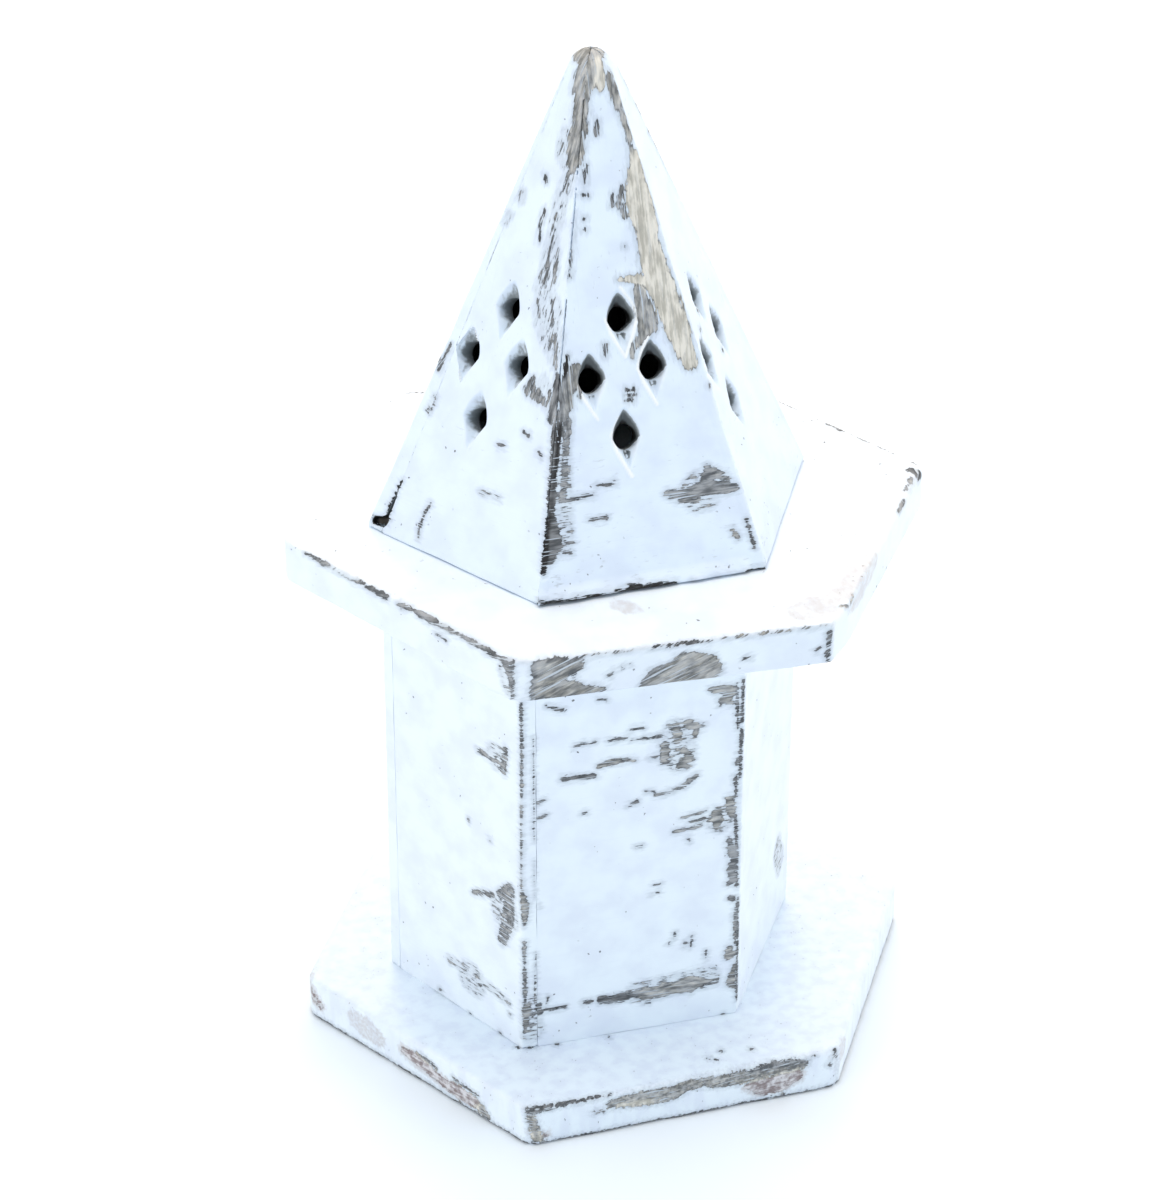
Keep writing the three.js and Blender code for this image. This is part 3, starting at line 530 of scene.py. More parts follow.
columnRubs = {
    "column1": {
        "brown": [
            [(-26, 41.2, 0.7), (-25.3, 37.3, 0.9), (-25.5, 32.9, 0.5)],
            [(-25.1, 11.1, 1.1), (-25.2, 7.9, 0.8), (-25.6, 4.4, 0.4)],
            [(-9.2, 70.3, 0.5), (-7.4, 70.7, 0.7), (-5.3, 70.7, 0.7), (-3.1, 70.8, 0.5), (-1.3, 70.3, 0.2)],
            [(5.3, 73.3, 0.9), (5.4, 71.1, 1.2), (5.1, 68.8, 0.8)],
            [(21, 57.4, 0.5), (19.9, 57, 0.9), (20.2, 54.4, 1.2), (20.5, 52.5, 0.7)],
            [(21.9, 27.7, 0.3), (21.9, 23.2, 0.4), (22.1, 19.3, 0.4)],
            [(22, 12.8, 0.4), (21.5, 10, 0.9), (21.3, 8.4, 1.1), (22.4, 7, 0.5)],
            [(-0.4, 9.8, 1), (1.8, 9.3, 1.7), (5.1, 9.3, 1.7), (8.4, 9.7, 1.8), (11.8, 9.9, 2.1),
             (14.5, 9.8, 1.2)],
            [(7.7, 77.4, 0.9), (8, 74.9, 1.1), (8, 73.4, 0.8)],
            [(10.3, 77.5, 1.2), (12.2, 76.3, 0.8), (12, 74.3, 0.6)],
            [(9.6, 71, 0.9), (11, 68.9, 0.8), (8.6, 67.5, 0.9), (10.4, 66.9, 0.6)],
            [(17.2, 54, 1.3), (17.3, 51.9, 1.4), (17, 50, 0.6)],
            [(20.8, 17.6, 0.8), (20.5, 15.7, 0.9), (21.9, 16.1, 0.7)],
            [(15.3, 85.1, 0.6), (17.9, 84.6, 1.3), (19.8, 83.7, 1.3), (18, 82.1, 1.1), (19.9, 81, 0.5)],
            [(3.5, 9, 0.5), (6.2, 8.7, 0.6)],
        ],
        "grey": [
            [(20.1, 46.4, 0.6), (20.7, 43.7, 1), (21.1, 41.2, 0.8), (20.8, 38.7, 1.1), (21.2, 35.5, 0.8),
             (20.1, 34.9, 0.5)],
            [(21.2, 30.7, 0.7), (20.5, 31.1, 0.4)],
        ],
        "scratched": [
            [(9.4, 53.9, 0.2), (12.1, 54.4, 0.3), (14.8, 54.8, 0.3)], [(11, 52.7, 0.2), (14.3, 53, 0.4)],
            [(7.3, 50.7, 0.2), (10.5, 50.9, 0.5), (13.8, 51.6, 0.4)],
            [(12.4, 64.1, 0.5), (11.1, 63.1, 0.6), (9.5, 61.9, 0.5), (7.7, 61.3, 0.4), (5.5, 61, 0.4),
             (3.4, 60.8, 0.2)],
            [(14.5, 9.4, 1.1), (17.9, 9.4, 0.6)], [(-22.6, 63.4, 0.2), (-21.1, 64, 0.3)],
            [(-22.4, 59.6, 0.3), (-20.8, 60, 0.3)], [(6.4, 77, 0.5), (13.8, 76.3, 0.4)],
            [(-25.9, 78, 0.3), (-26.2, 57, 0.25), (-26.4, 42.5, 0.35)],
            [(-25.6, 28.5, 0.3), (-25.5, 12.5, 0.4)],
        ],
        "dark": [
            [(-26, 88.5, 0.35), (-25.9, 78, 0.3)], [(-24, 8.3, 0.5), (-22.9, 9.4, 0.3)],
            [(-24.3, 5.8, 0.4), (-23.6, 6, 0.3)], [(-20.7, 11.2, 0.2), (-20.3, 12.7, 0.2)],
            [(-22.6, 10.9, 0.8), (-22.4, 9.4, 1)],
            [(-20.9, 9.7, 0.6), (-19, 9.5, 0.35), (-16.6, 9.4, 0.35)], [(-23.4, 80, -0.05), (-23.3, 54, 0)],
            [(-23.4, 49, -0.15), (-23.3, 39, -0.15)], [(-23.1, 25, -0.05), (-23.4, 11.4, 0.1)],
            [(-22.2, 37, 0.1)], [(-20.5, 87, 0.2), (-18.7, 86.2, 0.4), (-16.9, 85.6, 0.3)],
            [(-9.3, 86.8, 0.2), (-7.7, 86.3, 0.2)],
            [(-14.5, 76.2, 0.2), (-12.1, 76.5, 0.3), (-10.1, 76.4, 0.3)],
            [(-7.1, 76.1, 0.2), (-4.5, 76.2, 0.4), (-2.9, 76.3, 0.2)],
            [(-2.1, 75.6, 0.2), (3.2, 75.4, 0.3)], [(3.6, 75.4, 0.4), (4.7, 75.6, 0.3)],
            [(-2.3, 78.2, 0.2), (0.4, 78.2, 0.2)],
            [(-16.9, 68.4, 0.5), (-14.2, 68.4, 0.5), (-11.6, 68.1, 0.6), (-10, 68, 0.4)],
            [(1.9, 70.2, 0.2), (3.5, 70.4, 0.3)], [(5.4, 68.4, 0.4), (6.8, 67.9, 0.3)],
            [(-2.5, 59.4, 0.2), (-0.6, 59.8, 0.3)], [(-12.6, 58.9, 0.2), (-11.8, 59.1, 0.3)],
            [(10.8, 48.2, 0.3), (11.2, 47.6, 0.2)], [(-0.8, 48.3, 0.2), (0.6, 48.3, 0.2)],
            [(1.2, 62, 0.2), (3.1, 61.8, 0.2)], [(20.9, 85.3, 0.3), (21.2, 79.3, 0.3), (21.4, 74.4, 0.2)],
            [(21.4, 66.5, 0.3), (21.4, 65.3, 0.3)], [(21.2, 62.3, 0.4), (21.3, 57.3, 0.35)],
            [(21.3, 52.4, 0.35), (21.6, 47.3, 0.35), (22, 34, 0.35)],
            [(22.3, 30.8, 0.35), (22.7, 17.9, 0.35), (22.9, 4.8, 0.35), (23, 3.5, 0.3)],
            [(22.3, 86, 0.4), (22.3, 76.1, 0.35)], [(22.2, 74.3, 0.35), (22.1, 62.1, 0.35)],
            [(17.5, 81.1, 0.5), (18, 81.7, 0.4)], [(-12.2, 9.8, 0.35), (-10.9, 9.8, 0.65)],
            [(-8.4, 9.6, 1), (-5.4, 9.4, 1.15), (-2.6, 9.5, 0.95), (-0.4, 9.6, 0.8)],
            [(1.8, 7, 0.3), (2.9, 6.7, 0.2)], [(19.5, -0.2, 0.4)], [(3.4, 37.7, 0.2), (4.7, 37.7, 0.2)],
            [(3.1, 35.4, 0.2), (4.3, 35.5, 0.2)], [(8.2, 24.2, 0.2), (8.1, 22.9, 0.2)], [(6.9, 21.7, 0.2)],
            [(10.6, 21.2, 0.2), (10.4, 20.3, 0.2)], [(12.1, 22.5, 0.2), (11.9, 20, 0.2)],
            [(15.4, 18, 0.2), (15.4, 16, 0.2)], [(11.5, 9, 0.3), (12.1, 7.6, 0.3)],
        ],
        "faint": [
            [(8, 76, 3), (9, 69, 3)], [(18, 52, 3)], [(0, 10, 2.5), (16, 11, 2.5)],
            [(-24, 12, 2), (-24, 4, 2)],
        ],
    },
    "column6": {
        "scratched": [
            [(6.7, 70.8, 0.4), (10.5, 71, 0.6), (14, 70.5, 0.4)], [(15.6, 75, 0.8), (14.9, 69.7, 1.0)],
            [(13.5, 37.2, 1.2), (16.8, 40.2, 1.4), (16, 32, 2.0), (14, 25.7, 1.4)],
            [(4.7, 33.5, 0.5), (11, 36, 0.7)],
        ],
        "grey": [
            [(-3.3, 10.7, 0.4)], [(6.6, 9.8, 0.5)], [(16.4, 7, 0.4)], [(-6.9, 1.2, 0.4)], [(3.1, 0, 0.4)],
            [(13.1, 0, 0.4)], [(3.5, 51.5, 0.3)], [(10.5, 49.9, 0.3)], [(-5.3, 93.1, 0.4)],
        ],
        "faint": [
            [(13, 72, 3)], [(15, 33, 4)], [(4, 10, 4)],
            [(-3.3, 11.3, 0.8), (3.4, 11.6, 0.9), (9.9, 10.8, 0.8), (15.8, 9.9, 0.7)],
        ],
    },
    "column2": {
        "faint": [[(11, 20, 3), (14, 15, 3)]],
    },
}
plateRubs = {
    "plate1": {
        "brown": [
            [(-29.9, 6.8, 1.5), (-29.9, 0.6, 1.6)], [(-28.8, 5.6, 2.5), (-26, 6, 2.4), (-22.6, 6.2, 1.6)],
            [(-28.8, 1.5, 2.2), (-26, 1.2, 2.4), (-22, 0.2, 1.6), (-16.8, -0.4, 0.6)],
            [(-28.5, 3.6, 1.8), (-25.5, 3.6, 1.5)],
            [(-8.9, -1, 0.6), (-6.6, 0, 1.7), (-3.3, 0.8, 2.8), (0.8, 2, 4), (4.2, 1.6, 3.4),
             (6.7, 1, 1.4)],
            [(-34, 8.2, 0.4), (-31.5, 8.2, 0.5)], [(-20.5, 8.2, 0.4), (-11, 8.2, 0.3)],
            [(8, 8.2, 0.35), (16, 8.2, 0.4), (22, 8.2, 0.3)], [(24, 8.2, 0.35), (33, 8.2, 0.4)],
        ],
        "dark": [
            [(-31, 7.7, 0.6), (-31.1, 3.5, 0.4), (-31.9, -1.1, 0.5)], [(-23, 4.4, 0.9)],
            [(-31, 8.2, 0.5), (-26.5, 7.7, 0.6), (-21.2, 7.4, 0.4)],
            [(-9.1, -1.2, 0.4), (-5, -1.3, 0.6), (0.1, -1.3, 0.5), (5.3, -1.3, 0.5)],
            [(-8.7, 0, 0.3), (-7.1, 2.1, 0.4), (-4.6, 3.6, 0.3)], [(-15.6, 2.6, 0.3), (-14.8, 3.7, 0.2)],
            [(-12.9, 4.1, 0.3)], [(-11.1, 4.6, 0.2)], [(12.5, 2.8, 0.3), (14, 2.6, 0.3)],
            [(-9, 8.2, 0.3), (-5.6, 8.2, 0.45), (3.4, 8.2, 0.45), (6, 8.2, 0.3)],
            [(-8.6, -0.6, 0.5), (-6.5, 0.2, 0.9), (-4, 1.4, 0.5)],
            [(30.6, 6.2, 0.5), (30.3, 2.2, 0.4), (30.2, -0.4, 0.5)], [(27.8, 2.3, 0.3), (28.6, 2.9, 0.2)],
            [(-33, -1.2, 0.45), (-22, -1.2, 0.4), (-16, -1.2, 0.3)],
        ],
    },
    "plate6": {
        "grey": [
            [(-28, 8.1, 0.3), (-23, 8.2, 0.7), (-19, 8.2, 0.4)],
            [(-10.4, 8.1, 0.4), (-6.4, 8.1, 0.9), (-3.1, 7.6, 0.7)],
            [(0.9, 7.8, 0.6), (4.8, 8.1, 0.6), (9.6, 8.4, 1.3), (12.5, 8.2, 0.7), (17.2, 8.2, 0.7),
             (21.6, 8.1, 0.6), (26.2, 7.9, 0.6), (30.9, 7.8, 0.6), (33.7, 8.1, 0.7)],
            [(32.6, 6.6, 1.1), (33.6, 4.5, 0.8), (34, 0.5, 0.3)],
        ],
        "dark": [
            [(-23.7, 8.2, 0.5), (-22.4, 8.2, 0.5)], [(-5.8, 7.7, 0.4), (-2.8, 7.5, 0.4)],
            [(12, 8.1, 0.4), (17, 8.1, 0.5), (24, 8.1, 0.4)], [(30, 7.9, 0.5), (33.6, 7.9, 0.6)],
            [(12.4, 5.4, 0.4), (14.8, 5.2, 0.4)], [(34.2, 8, 0.5), (34.2, -1.2, 0.5)],
        ],
        "faint": [
            [(32, 6, 1.6), (33.2, 1.5, 1.2)], [(-19, 8.2, 0.6), (-14.4, 8.2, 0.9), (-10.4, 8.1, 0.7)],
        ],
    },
    "plateTop": {
        "stain": [
            [(-10.2, -42.3, 1.4), (-8.4, -44.2, 1.3)],
            [(25, -54.9, 2.6), (28.2, -53.7, 3.2), (31.5, -52.9, 2.6)],
            [(40.8, -43.7, 2.6), (43.3, -40.5, 3.2), (45.2, -37.6, 2.2)],
            [(33.8, -52.3, 2.6), (36.9, -49.8, 3.2), (40.9, -45.9, 3.2)],
        ],
        "dark": [
            [(33.2, -54.7, 0.4), (35.1, -54.8, 0.4), (38.4, -51.1, 0.4), (42, -46.6, 0.4)],
            [(67.3, -3.9, 1), (68.1, -6, 1.3), (68, -8.3, 0.8)],
        ],
        "scratched": [[(58.2, -20.8, 0.4), (60.8, -16, 0.5)], [(63, -12, 0.4), (65.8, -7.3, 0.5)]],
    },
    "base1": {
        "brown": [
            [(-16.6, 6.6, 1.2), (-13.2, 6.6, 1.6), (-7.5, 6.3, 2.1), (-2.8, 6.3, 1.9), (0.6, 7.4, 1.3),
             (5.9, 7.7, 1.1)],
            [(5.9, 6.8, 1), (8.2, 7, 1.7), (13.4, 6.9, 1.8)],
            [(15.7, 6.9, 1.8), (20.3, 7.4, 1.6), (24, 7.2, 1.6), (27.3, 7.4, 1.1)],
            [(-20.7, 5.3, 0.3), (-18.4, 5.1, 0.4)], [(-35.4, 7.7, 1.2), (-34.3, 4.2, 1.1), (-33.4, 1, 1.1)],
        ],
        "pale": [
            [(14.4, 4.3, 1), (17.7, 3.2, 2.2), (21.8, 3.4, 2.4), (25.5, 4.7, 1.6)],
            [(-14.8, 6.1, 1), (-8, 5.6, 1.3)],
        ],
        "dark": [
            [(14.5, 8.1, 0.5), (18, 8.2, 1), (21.5, 8, 1.3), (25, 7.9, 1.1), (27.5, 8, 0.5)],
            [(-36.3, 9.1, 1.2), (-32.8, 9, 1), (-28.1, 9.2, 0.8), (-22, 9.3, 0.65), (-17, 9.3, 0.55)],
            [(34.9, 9.2, 0.9), (35.5, 4.9, 0.5), (35.9, 1, 0.6)], [(29.8, 9.2, 0.4)],
            [(32.9, 5.7, 0.4), (33.6, 5.6, 0.4)], [(22.2, 0.3, 0.3), (22.9, 0.1, 0.3)],
            # painted shadow: a dark line along the base's bottom edge, where it meets the floor
            [(-35, -0.8, 0.75), (35, -0.8, 0.75)],
        ],
        "paleThin": [[(-34.6, 2.9, 1), (-32.1, 1.3, 1.1)]],
    },
    "base6": {
        "stain": [[(-19.4, 5.4, 1.4), (-15.6, 4.9, 2.3), (-11.8, 4.1, 1.4)]],
        "paleThin": [[(-34.1, 6.5, 1.1), (-32.5, 4.5, 1.4), (-30.6, 3.3, 0.9)]],
        "pale": [
            [(-3.8, 5, 0.8), (0.6, 4.6, 1.8), (4.6, 3.7, 1.4), (8.6, 2.9, 1.3), (13.9, 2.7, 1.9),
             (18.8, 2.3, 1.6)],
        ],
        "dark": [
            [(0.6, 6.5, 0.4), (3.4, 6.1, 0.5), (6.5, 5.5, 0.4)],
            # painted shadow: a dark line along the base's bottom edge, where it meets the floor
            [(11.8, 5.6, 0.3), (15.5, 5.1, 0.4), (19.2, 4.9, 0.3)], [(-35, -0.8, 0.75), (35, -0.8, 0.75)],
        ],
        "brown": [[(18.2, 2.2, 1.1), (20.6, 1.7, 1.4), (22.4, 0.7, 0.9)]],
    },
    "base2": {
        "stain": [[(-34, 7, 1.6), (-28, 6, 1.6)]],
        # painted shadow: a dark line along the base's bottom edge, where it meets the floor
        "dark": [[(-35, -0.8, 0.75), (35, -0.8, 0.75)]],
    },
    "baseTop": {
        "dark": [
            [(7.3, -53.6, 0.4)], [(10.8, -51.9, 0.4)], [(8.8, -54.7, 0.3)], [(17.3, -53, 0.4)],
            [(-31.3, -38.5, 0.4), (-28.2, -39.4, 0.5)], [(-23.1, -39.7, 0.5)], [(-11.3, -40.4, 0.4)],
        ],
        "faint": [
            [(-42.6, -13.6, 0.6), (-39.4, -19.1, 0.6)], [(-36.5, -25.3, 0.6)],
            [(-33.3, -30.8, 0.6), (-31.5, -34, 0.6)],
        ],
    },
}

# the unseen faces are worn like the seen ones: the face that each follows, and -1 where its left
# and right are swapped
followers = {
    "roof3": ("roof1", -1), "roof4": ("roof6", -1), "roof5": ("roof2", -1),
    "column3": ("column1", -1), "column4": ("column6", -1), "column5": ("column2", -1),
    "plate3": ("plate6", -1), "plate4": ("plate1", -1),
    "base3": ("base6", -1), "base4": ("base1", -1), "base5": ("base2", -1),
}


# the rubs of one group of faces, in world space: start, end, half widths, tone and depth
def rubsInPlace(faceRubs):
    found = []
    worn = [(face, kinds, 1) for face, kinds in faceRubs.items()]
    for face, (model, side) in followers.items():
        if model in faceRubs:
            worn.append((face, faceRubs[model], side))
    for face, kinds, side in worn:
        matrix = faces[face][0] @ Matrix.Diagonal((side, 1, 1, 1))
        for kind, paths in kinds.items():
            for path in paths:
                steps = list(zip(path, path[1:])) or [(path[0], path[0])]
                for (u0, v0, w0), (u1, v1, w1) in steps:
                    start = np.array(matrix @ Vector((u0 * mm, v0 * mm, 0)))
                    end = np.array(matrix @ Vector((u1 * mm, v1 * mm, 0)))
                    found.append((start, end, w0, w1, rubKinds[kind]["tone"], rubKinds[kind]["depth"]))
    return found


farFromRubs = -4.0    # mm, far enough from any rub for sound paint
toneSharpness = 3     # how sharply one rub's tone gives way to the next one's, per mm
painted = -1.0        # mm past the paint, for a place that it covers


# how far, in mm, each point lies inside the nearest rub, and that rub's tone
def rubField(points, rubs):
    field = np.full(len(points), farFromRubs)
    toneSum = np.zeros(len(points))
    weightSum = np.full(len(points), 1e-9)
    for start, end, startWidth, endWidth, tone, depth in rubs:
        room = (max(startWidth, endWidth) - farFromRubs) * mm
        low, high = np.minimum(start, end) - room, np.maximum(start, end) + room
        near = np.flatnonzero(((points > low) & (points < high)).all(1))
        if not len(near):
            continue
        place = points[near]
        along = end - start
        share = np.clip((place - start) @ along / max(along @ along, 1e-12), 0, 1)
        distance = np.linalg.norm(place - start - share[:, None] * along, axis=1) / mm
        value = np.minimum(startWidth + share * (endWidth - startWidth) - distance, depth)
        field[near] = np.maximum(field[near], value)
        weight = np.exp(np.clip(value, farFromRubs, bareDepth) * toneSharpness)
        toneSum[near] += weight * tone
        weightSum[near] += weight
    return field, toneSum / weightSum


wanderLook = {"waves": 7, "spread": (0.6, 1.6), "strength": 1.6}


# smooth made-up unevenness, mostly between -1 and 1, from crossed waves of about the given length
def wander(points, length, seed):
    draw = np.random.default_rng(seed)
    total = np.zeros(len(points))
    for _ in range(wanderLook["waves"]):
        way = draw.normal(size=3)
        way = way / np.linalg.norm(way) * 2 * math.pi / (length * mm) * draw.uniform(*wanderLook["spread"])
        total += np.sin(points @ way + draw.uniform(0, 2 * math.pi))
    return total / wanderLook["waves"] * wanderLook["strength"]


# how far each point stands out from its neighbours, in mm
def convexity(mesh, points, normals):
    edges = np.empty(len(mesh.edges) * 2, np.int32)
    mesh.edges.foreach_get("vertices", edges)
    a, b = edges.reshape(-1, 2).T
    count = np.bincount(a, minlength=len(points)) + np.bincount(b, minlength=len(points))
    mean = np.empty_like(points)
    for axis in range(3):
        total = np.bincount(a, points[b, axis], len(points)) + np.bincount(b, points[a, axis], len(points))
        mean[:, axis] = total / np.maximum(count, 1)
    return ((points - mean) * normals).sum(1) / mm


def pointNormals(mesh):
    flat = np.empty(len(mesh.vertices) * 3, np.float32)
    mesh.vertex_normals.foreach_get("vector", flat)
    return flat.reshape(-1, 3).astype(float)


def putAttribute(mesh, name, values):
    kind = "FLOAT" if values.ndim == 1 else "FLOAT_VECTOR"
    attribute = mesh.attributes.new(name, kind, "POINT")
    attribute.data.foreach_set("value" if values.ndim == 1 else "vector", values.astype(np.float32).ravel())


# from 0 at the low end to 1 at the high one; the low end may be the larger number
def smoothCurve(values, low, high):
    share = np.clip((values - low) / (high - low), 0, 1)
    return share * share * (3 - 2 * share)


skinLook = {
    "merged": 0.002,                                             # mm, points this near are one
    "fineness": {"roof": 0.44, "column": 0.44, "plate": 0.56},   # mm
    "frontFineness": {"roof_1": 0.31, "roof_6": 0.31, "column_1": 0.39},
    "smoothing": 0.5, "rounds": {"roof": 3, "column": 3, "plate": 1},
    "unevenness": 0.07, "waves": ((14, 3, 1.0), (5, 4, 0.5)),    # mm; mm long, seed and share of each
    # an arris is rubbed here and there: how far it stands out (mm), waves (mm long, seed), their level
    "edgeBulge": (0.02, 0.09), "edgeWave": (26, 11), "edgeWorn": (0.45, 1.1), "edgeTone": 0.1,
    "smoothAngle": 50,                                           # degrees
}


# a merged copy of a CAD node's solid, in the frame of its own face
def woodBlank(name, node, matrix):
    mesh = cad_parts[node].data.copy()
    mesh.transform(matrix.inverted())
    piece = bpy.data.objects.new(name, mesh)
    scene.collection.objects.link(piece)
    selectOnly(piece)
    bpy.ops.object.mode_set(mode="EDIT")
    bpy.ops.mesh.select_all(action="SELECT")
    bpy.ops.mesh.remove_doubles(threshold=skinLook["merged"] * mm)
    bpy.ops.object.mode_set(mode="OBJECT")
    return piece


# gives a piece its hand-worked skin: a fine even mesh, softened arrises and slight unevenness
def workSkin(piece, part, number=0):
    voxel = skinLook["frontFineness"].get(f"{part}_{number}", skinLook["fineness"][part])
    applyModifier(piece, "skin", "REMESH", {"mode": "VOXEL", "voxel_size": voxel * mm, "adaptivity": 0.0})
    applyModifier(piece, "soften", "SMOOTH",
                  {"factor": skinLook["smoothing"], "iterations": skinLook["rounds"][part]})
    mesh = piece.data
    points, normals = corners(mesh), pointNormals(mesh)
    lift = sum(share * wander(points, length, seed) for length, seed, share in skinLook["waves"])
    putCorners(mesh, points + normals * (lift * skinLook["unevenness"] * mm)[:, None])


# the skin's attributes, worked out in the face's frame, then the piece goes to its place; fields
# are turn (0 where the grain runs level, 1 where it runs up), inside (mm past the paint) and ridge
# (1 where the paint is thick)
def finishWood(piece, matrix, rubs, fields, body, node):
    mesh = piece.data
    local = corners(mesh)
    bulge = convexity(mesh, local, pointNormals(mesh))
    putAttribute(mesh, "face", local)
    for name in ("turn", "inside", "ridge"):
        putAttribute(mesh, name, fields[name])
    # painted shade: the roof boards' paint is darkened a little, as they tilt up into more light
    putAttribute(mesh, "roofShade", np.full(len(local), float(body == "roof")))
    mesh.transform(matrix)
    points = corners(mesh)
    field, tone = rubField(points, rubs)
    rubbedEdges = smoothCurve(wander(points, *skinLook["edgeWave"]), *skinLook["edgeWorn"])
    edge = smoothCurve(bulge, *skinLook["edgeBulge"]) * rubbedEdges * (fields["inside"] < 0)
    edgeWear = farFromRubs * (1 - edge)
    tone = np.where(edgeWear > field, skinLook["edgeTone"], tone)
    putAttribute(mesh, "wear", np.maximum(field, edgeWear))
    putAttribute(mesh, "tone", tone)
    selectOnly(piece)
    bpy.ops.object.shade_smooth_by_angle(angle=math.radians(skinLook["smoothAngle"]))
    dressWith(piece, woodFinish)
    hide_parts(node)
    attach(piece, body)


# the tight skin round some CAD nodes, which has neither gaps nor vents
def tightSkin(name, nodes):
    bpy.ops.object.select_all(action="DESELECT")
    for node in nodes:
        copy = bpy.data.objects.new(name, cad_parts[node].data.copy())
        scene.collection.objects.link(copy)
        copy.select_set(True)
        bpy.context.view_layer.objects.active = copy
    bpy.ops.object.join()
    skin = bpy.context.active_object
    bpy.ops.object.mode_set(mode="EDIT")
    bpy.ops.mesh.select_all(action="SELECT")
    bpy.ops.mesh.convex_hull()
    bpy.ops.object.mode_set(mode="OBJECT")
    return skin


# the tight skin in a board's own frame, to look up nearest places on it
def skinAround(skin, matrix):
    local = skin.copy()
    local.data = skin.data.copy()
    local.data.transform(matrix.inverted())
    scene.collection.objects.link(local)
    return local, BVHTree.FromObject(local, bpy.context.evaluated_depsgraph_get())


# how deep each point lies below the tight skin, in mm
def depthBelow(points, tree):
    depth = np.empty(len(points))
    for index, point in enumerate(points):
        place, normal, _, distance = tree.find_nearest(Vector(point))
        depth[index] = distance if normal.dot(Vector(point) - place) < 0 else 0
    return depth / mm


jointLook = {
    "endFacing": 0.2, "endFlat": 0.999,               # cosines: turned to one side, and in one plane
    "endDepth": 0.3,                                  # mm below the tight skin
    "bridgeReach": 1.2, "bridgeDepth": 0.5,           # mm either side of an end, and below the skin
    "open": (5, 45), "openSides": {1: -1, 6: 1},      # mm up the two roof boards at the open joint
}


# moves the glued ends of a board out a little, so that paint can bridge the joints; gives back
# a point on each end and the way that it faces
def growEnds(piece, growths, tree):
    mesh = piece.data
    selectOnly(piece)
    found = []
    for side, growth in zip((-1, 1), growths):
        bpy.ops.object.mode_set(mode="EDIT")
        bpy.ops.mesh.select_all(action="DESELECT")
        bpy.ops.object.mode_set(mode="OBJECT")
        facing = [p for p in mesh.polygons if p.normal.x * side > jointLook["endFacing"]]
        covered = [p for p in facing if tree.find_nearest(p.center)[3] > jointLook["endDepth"] * mm]
        largest = max(covered, key=lambda p: p.area)
        ends = [p for p in covered if p.normal.dot(largest.normal) > jointLook["endFlat"]]
        found.append((np.array(largest.center), np.array(largest.normal)))
        for polygon in ends:
            polygon.select = True
        bpy.ops.object.mode_set(mode="EDIT")
        bpy.ops.transform.translate(value=largest.normal * growth * mm)
        bpy.ops.object.mode_set(mode="OBJECT")
    return found


# paint over the glued joints: the board's skin next to its ends goes out to the tight skin, except
# on the side where the joint has opened below the worn part
def bridgeJoints(piece, local, tree, ends, openSide=0):
    points = corners(piece.data)
    low, high = jointLook["open"]
    opened = (points[:, 0] * openSide > 0) & (points[:, 1] > low * mm) & (points[:, 1] < high * mm)
    near = np.zeros(len(points), bool)
    for centre, normal in ends:
        near |= np.abs((points - centre) @ normal / mm) < jointLook["bridgeReach"]
    chosen = np.flatnonzero(near & ~opened)
    chosen = chosen[depthBelow(points[chosen], tree) < jointLook["bridgeDepth"]]
    group = piece.vertex_groups.new(name="bridged")
    group.add(chosen.tolist(), 1.0, "REPLACE")
    applyModifier(piece, "bridge", "SHRINKWRAP", {"target": local, "vertex_group": "bridged",
                                                  "wrap_method": "NEAREST_SURFACEPOINT"})


# a flat outline in a face's frame, drawn out below and above the face, to cut a piece with
def faceCutter(name, outline, low, high):
    bpy.ops.object.select_all(action="DESELECT")
    bpy.ops.mesh.primitive_circle_add(vertices=len(outline), radius=mm, fill_type="NGON",
                                      location=(0, 0, 0))
    cutter = bpy.context.active_object
    cutter.name = name
    for vertex, (u, v) in zip(cutter.data.vertices, outline):
        vertex.co = (u * mm, v * mm, low * mm)
    bpy.ops.object.mode_set(mode="EDIT")
    bpy.ops.mesh.select_all(action="SELECT")
    bpy.ops.mesh.extrude_region_move(TRANSFORM_OT_translate={"value": (0, 0, (high - low) * mm)})
    bpy.ops.mesh.select_all(action="SELECT")
    bpy.ops.mesh.normals_make_consistent(inside=False)
    bpy.ops.object.mode_set(mode="OBJECT")
    return cutter


def joinOrCut(piece, tool, operation):
    settings = {"operation": operation, "solver": "EXACT", "object": tool}
    applyModifier(piece, "joinOrCut", "BOOLEAN", settings)
    bpy.data.objects.remove(tool)


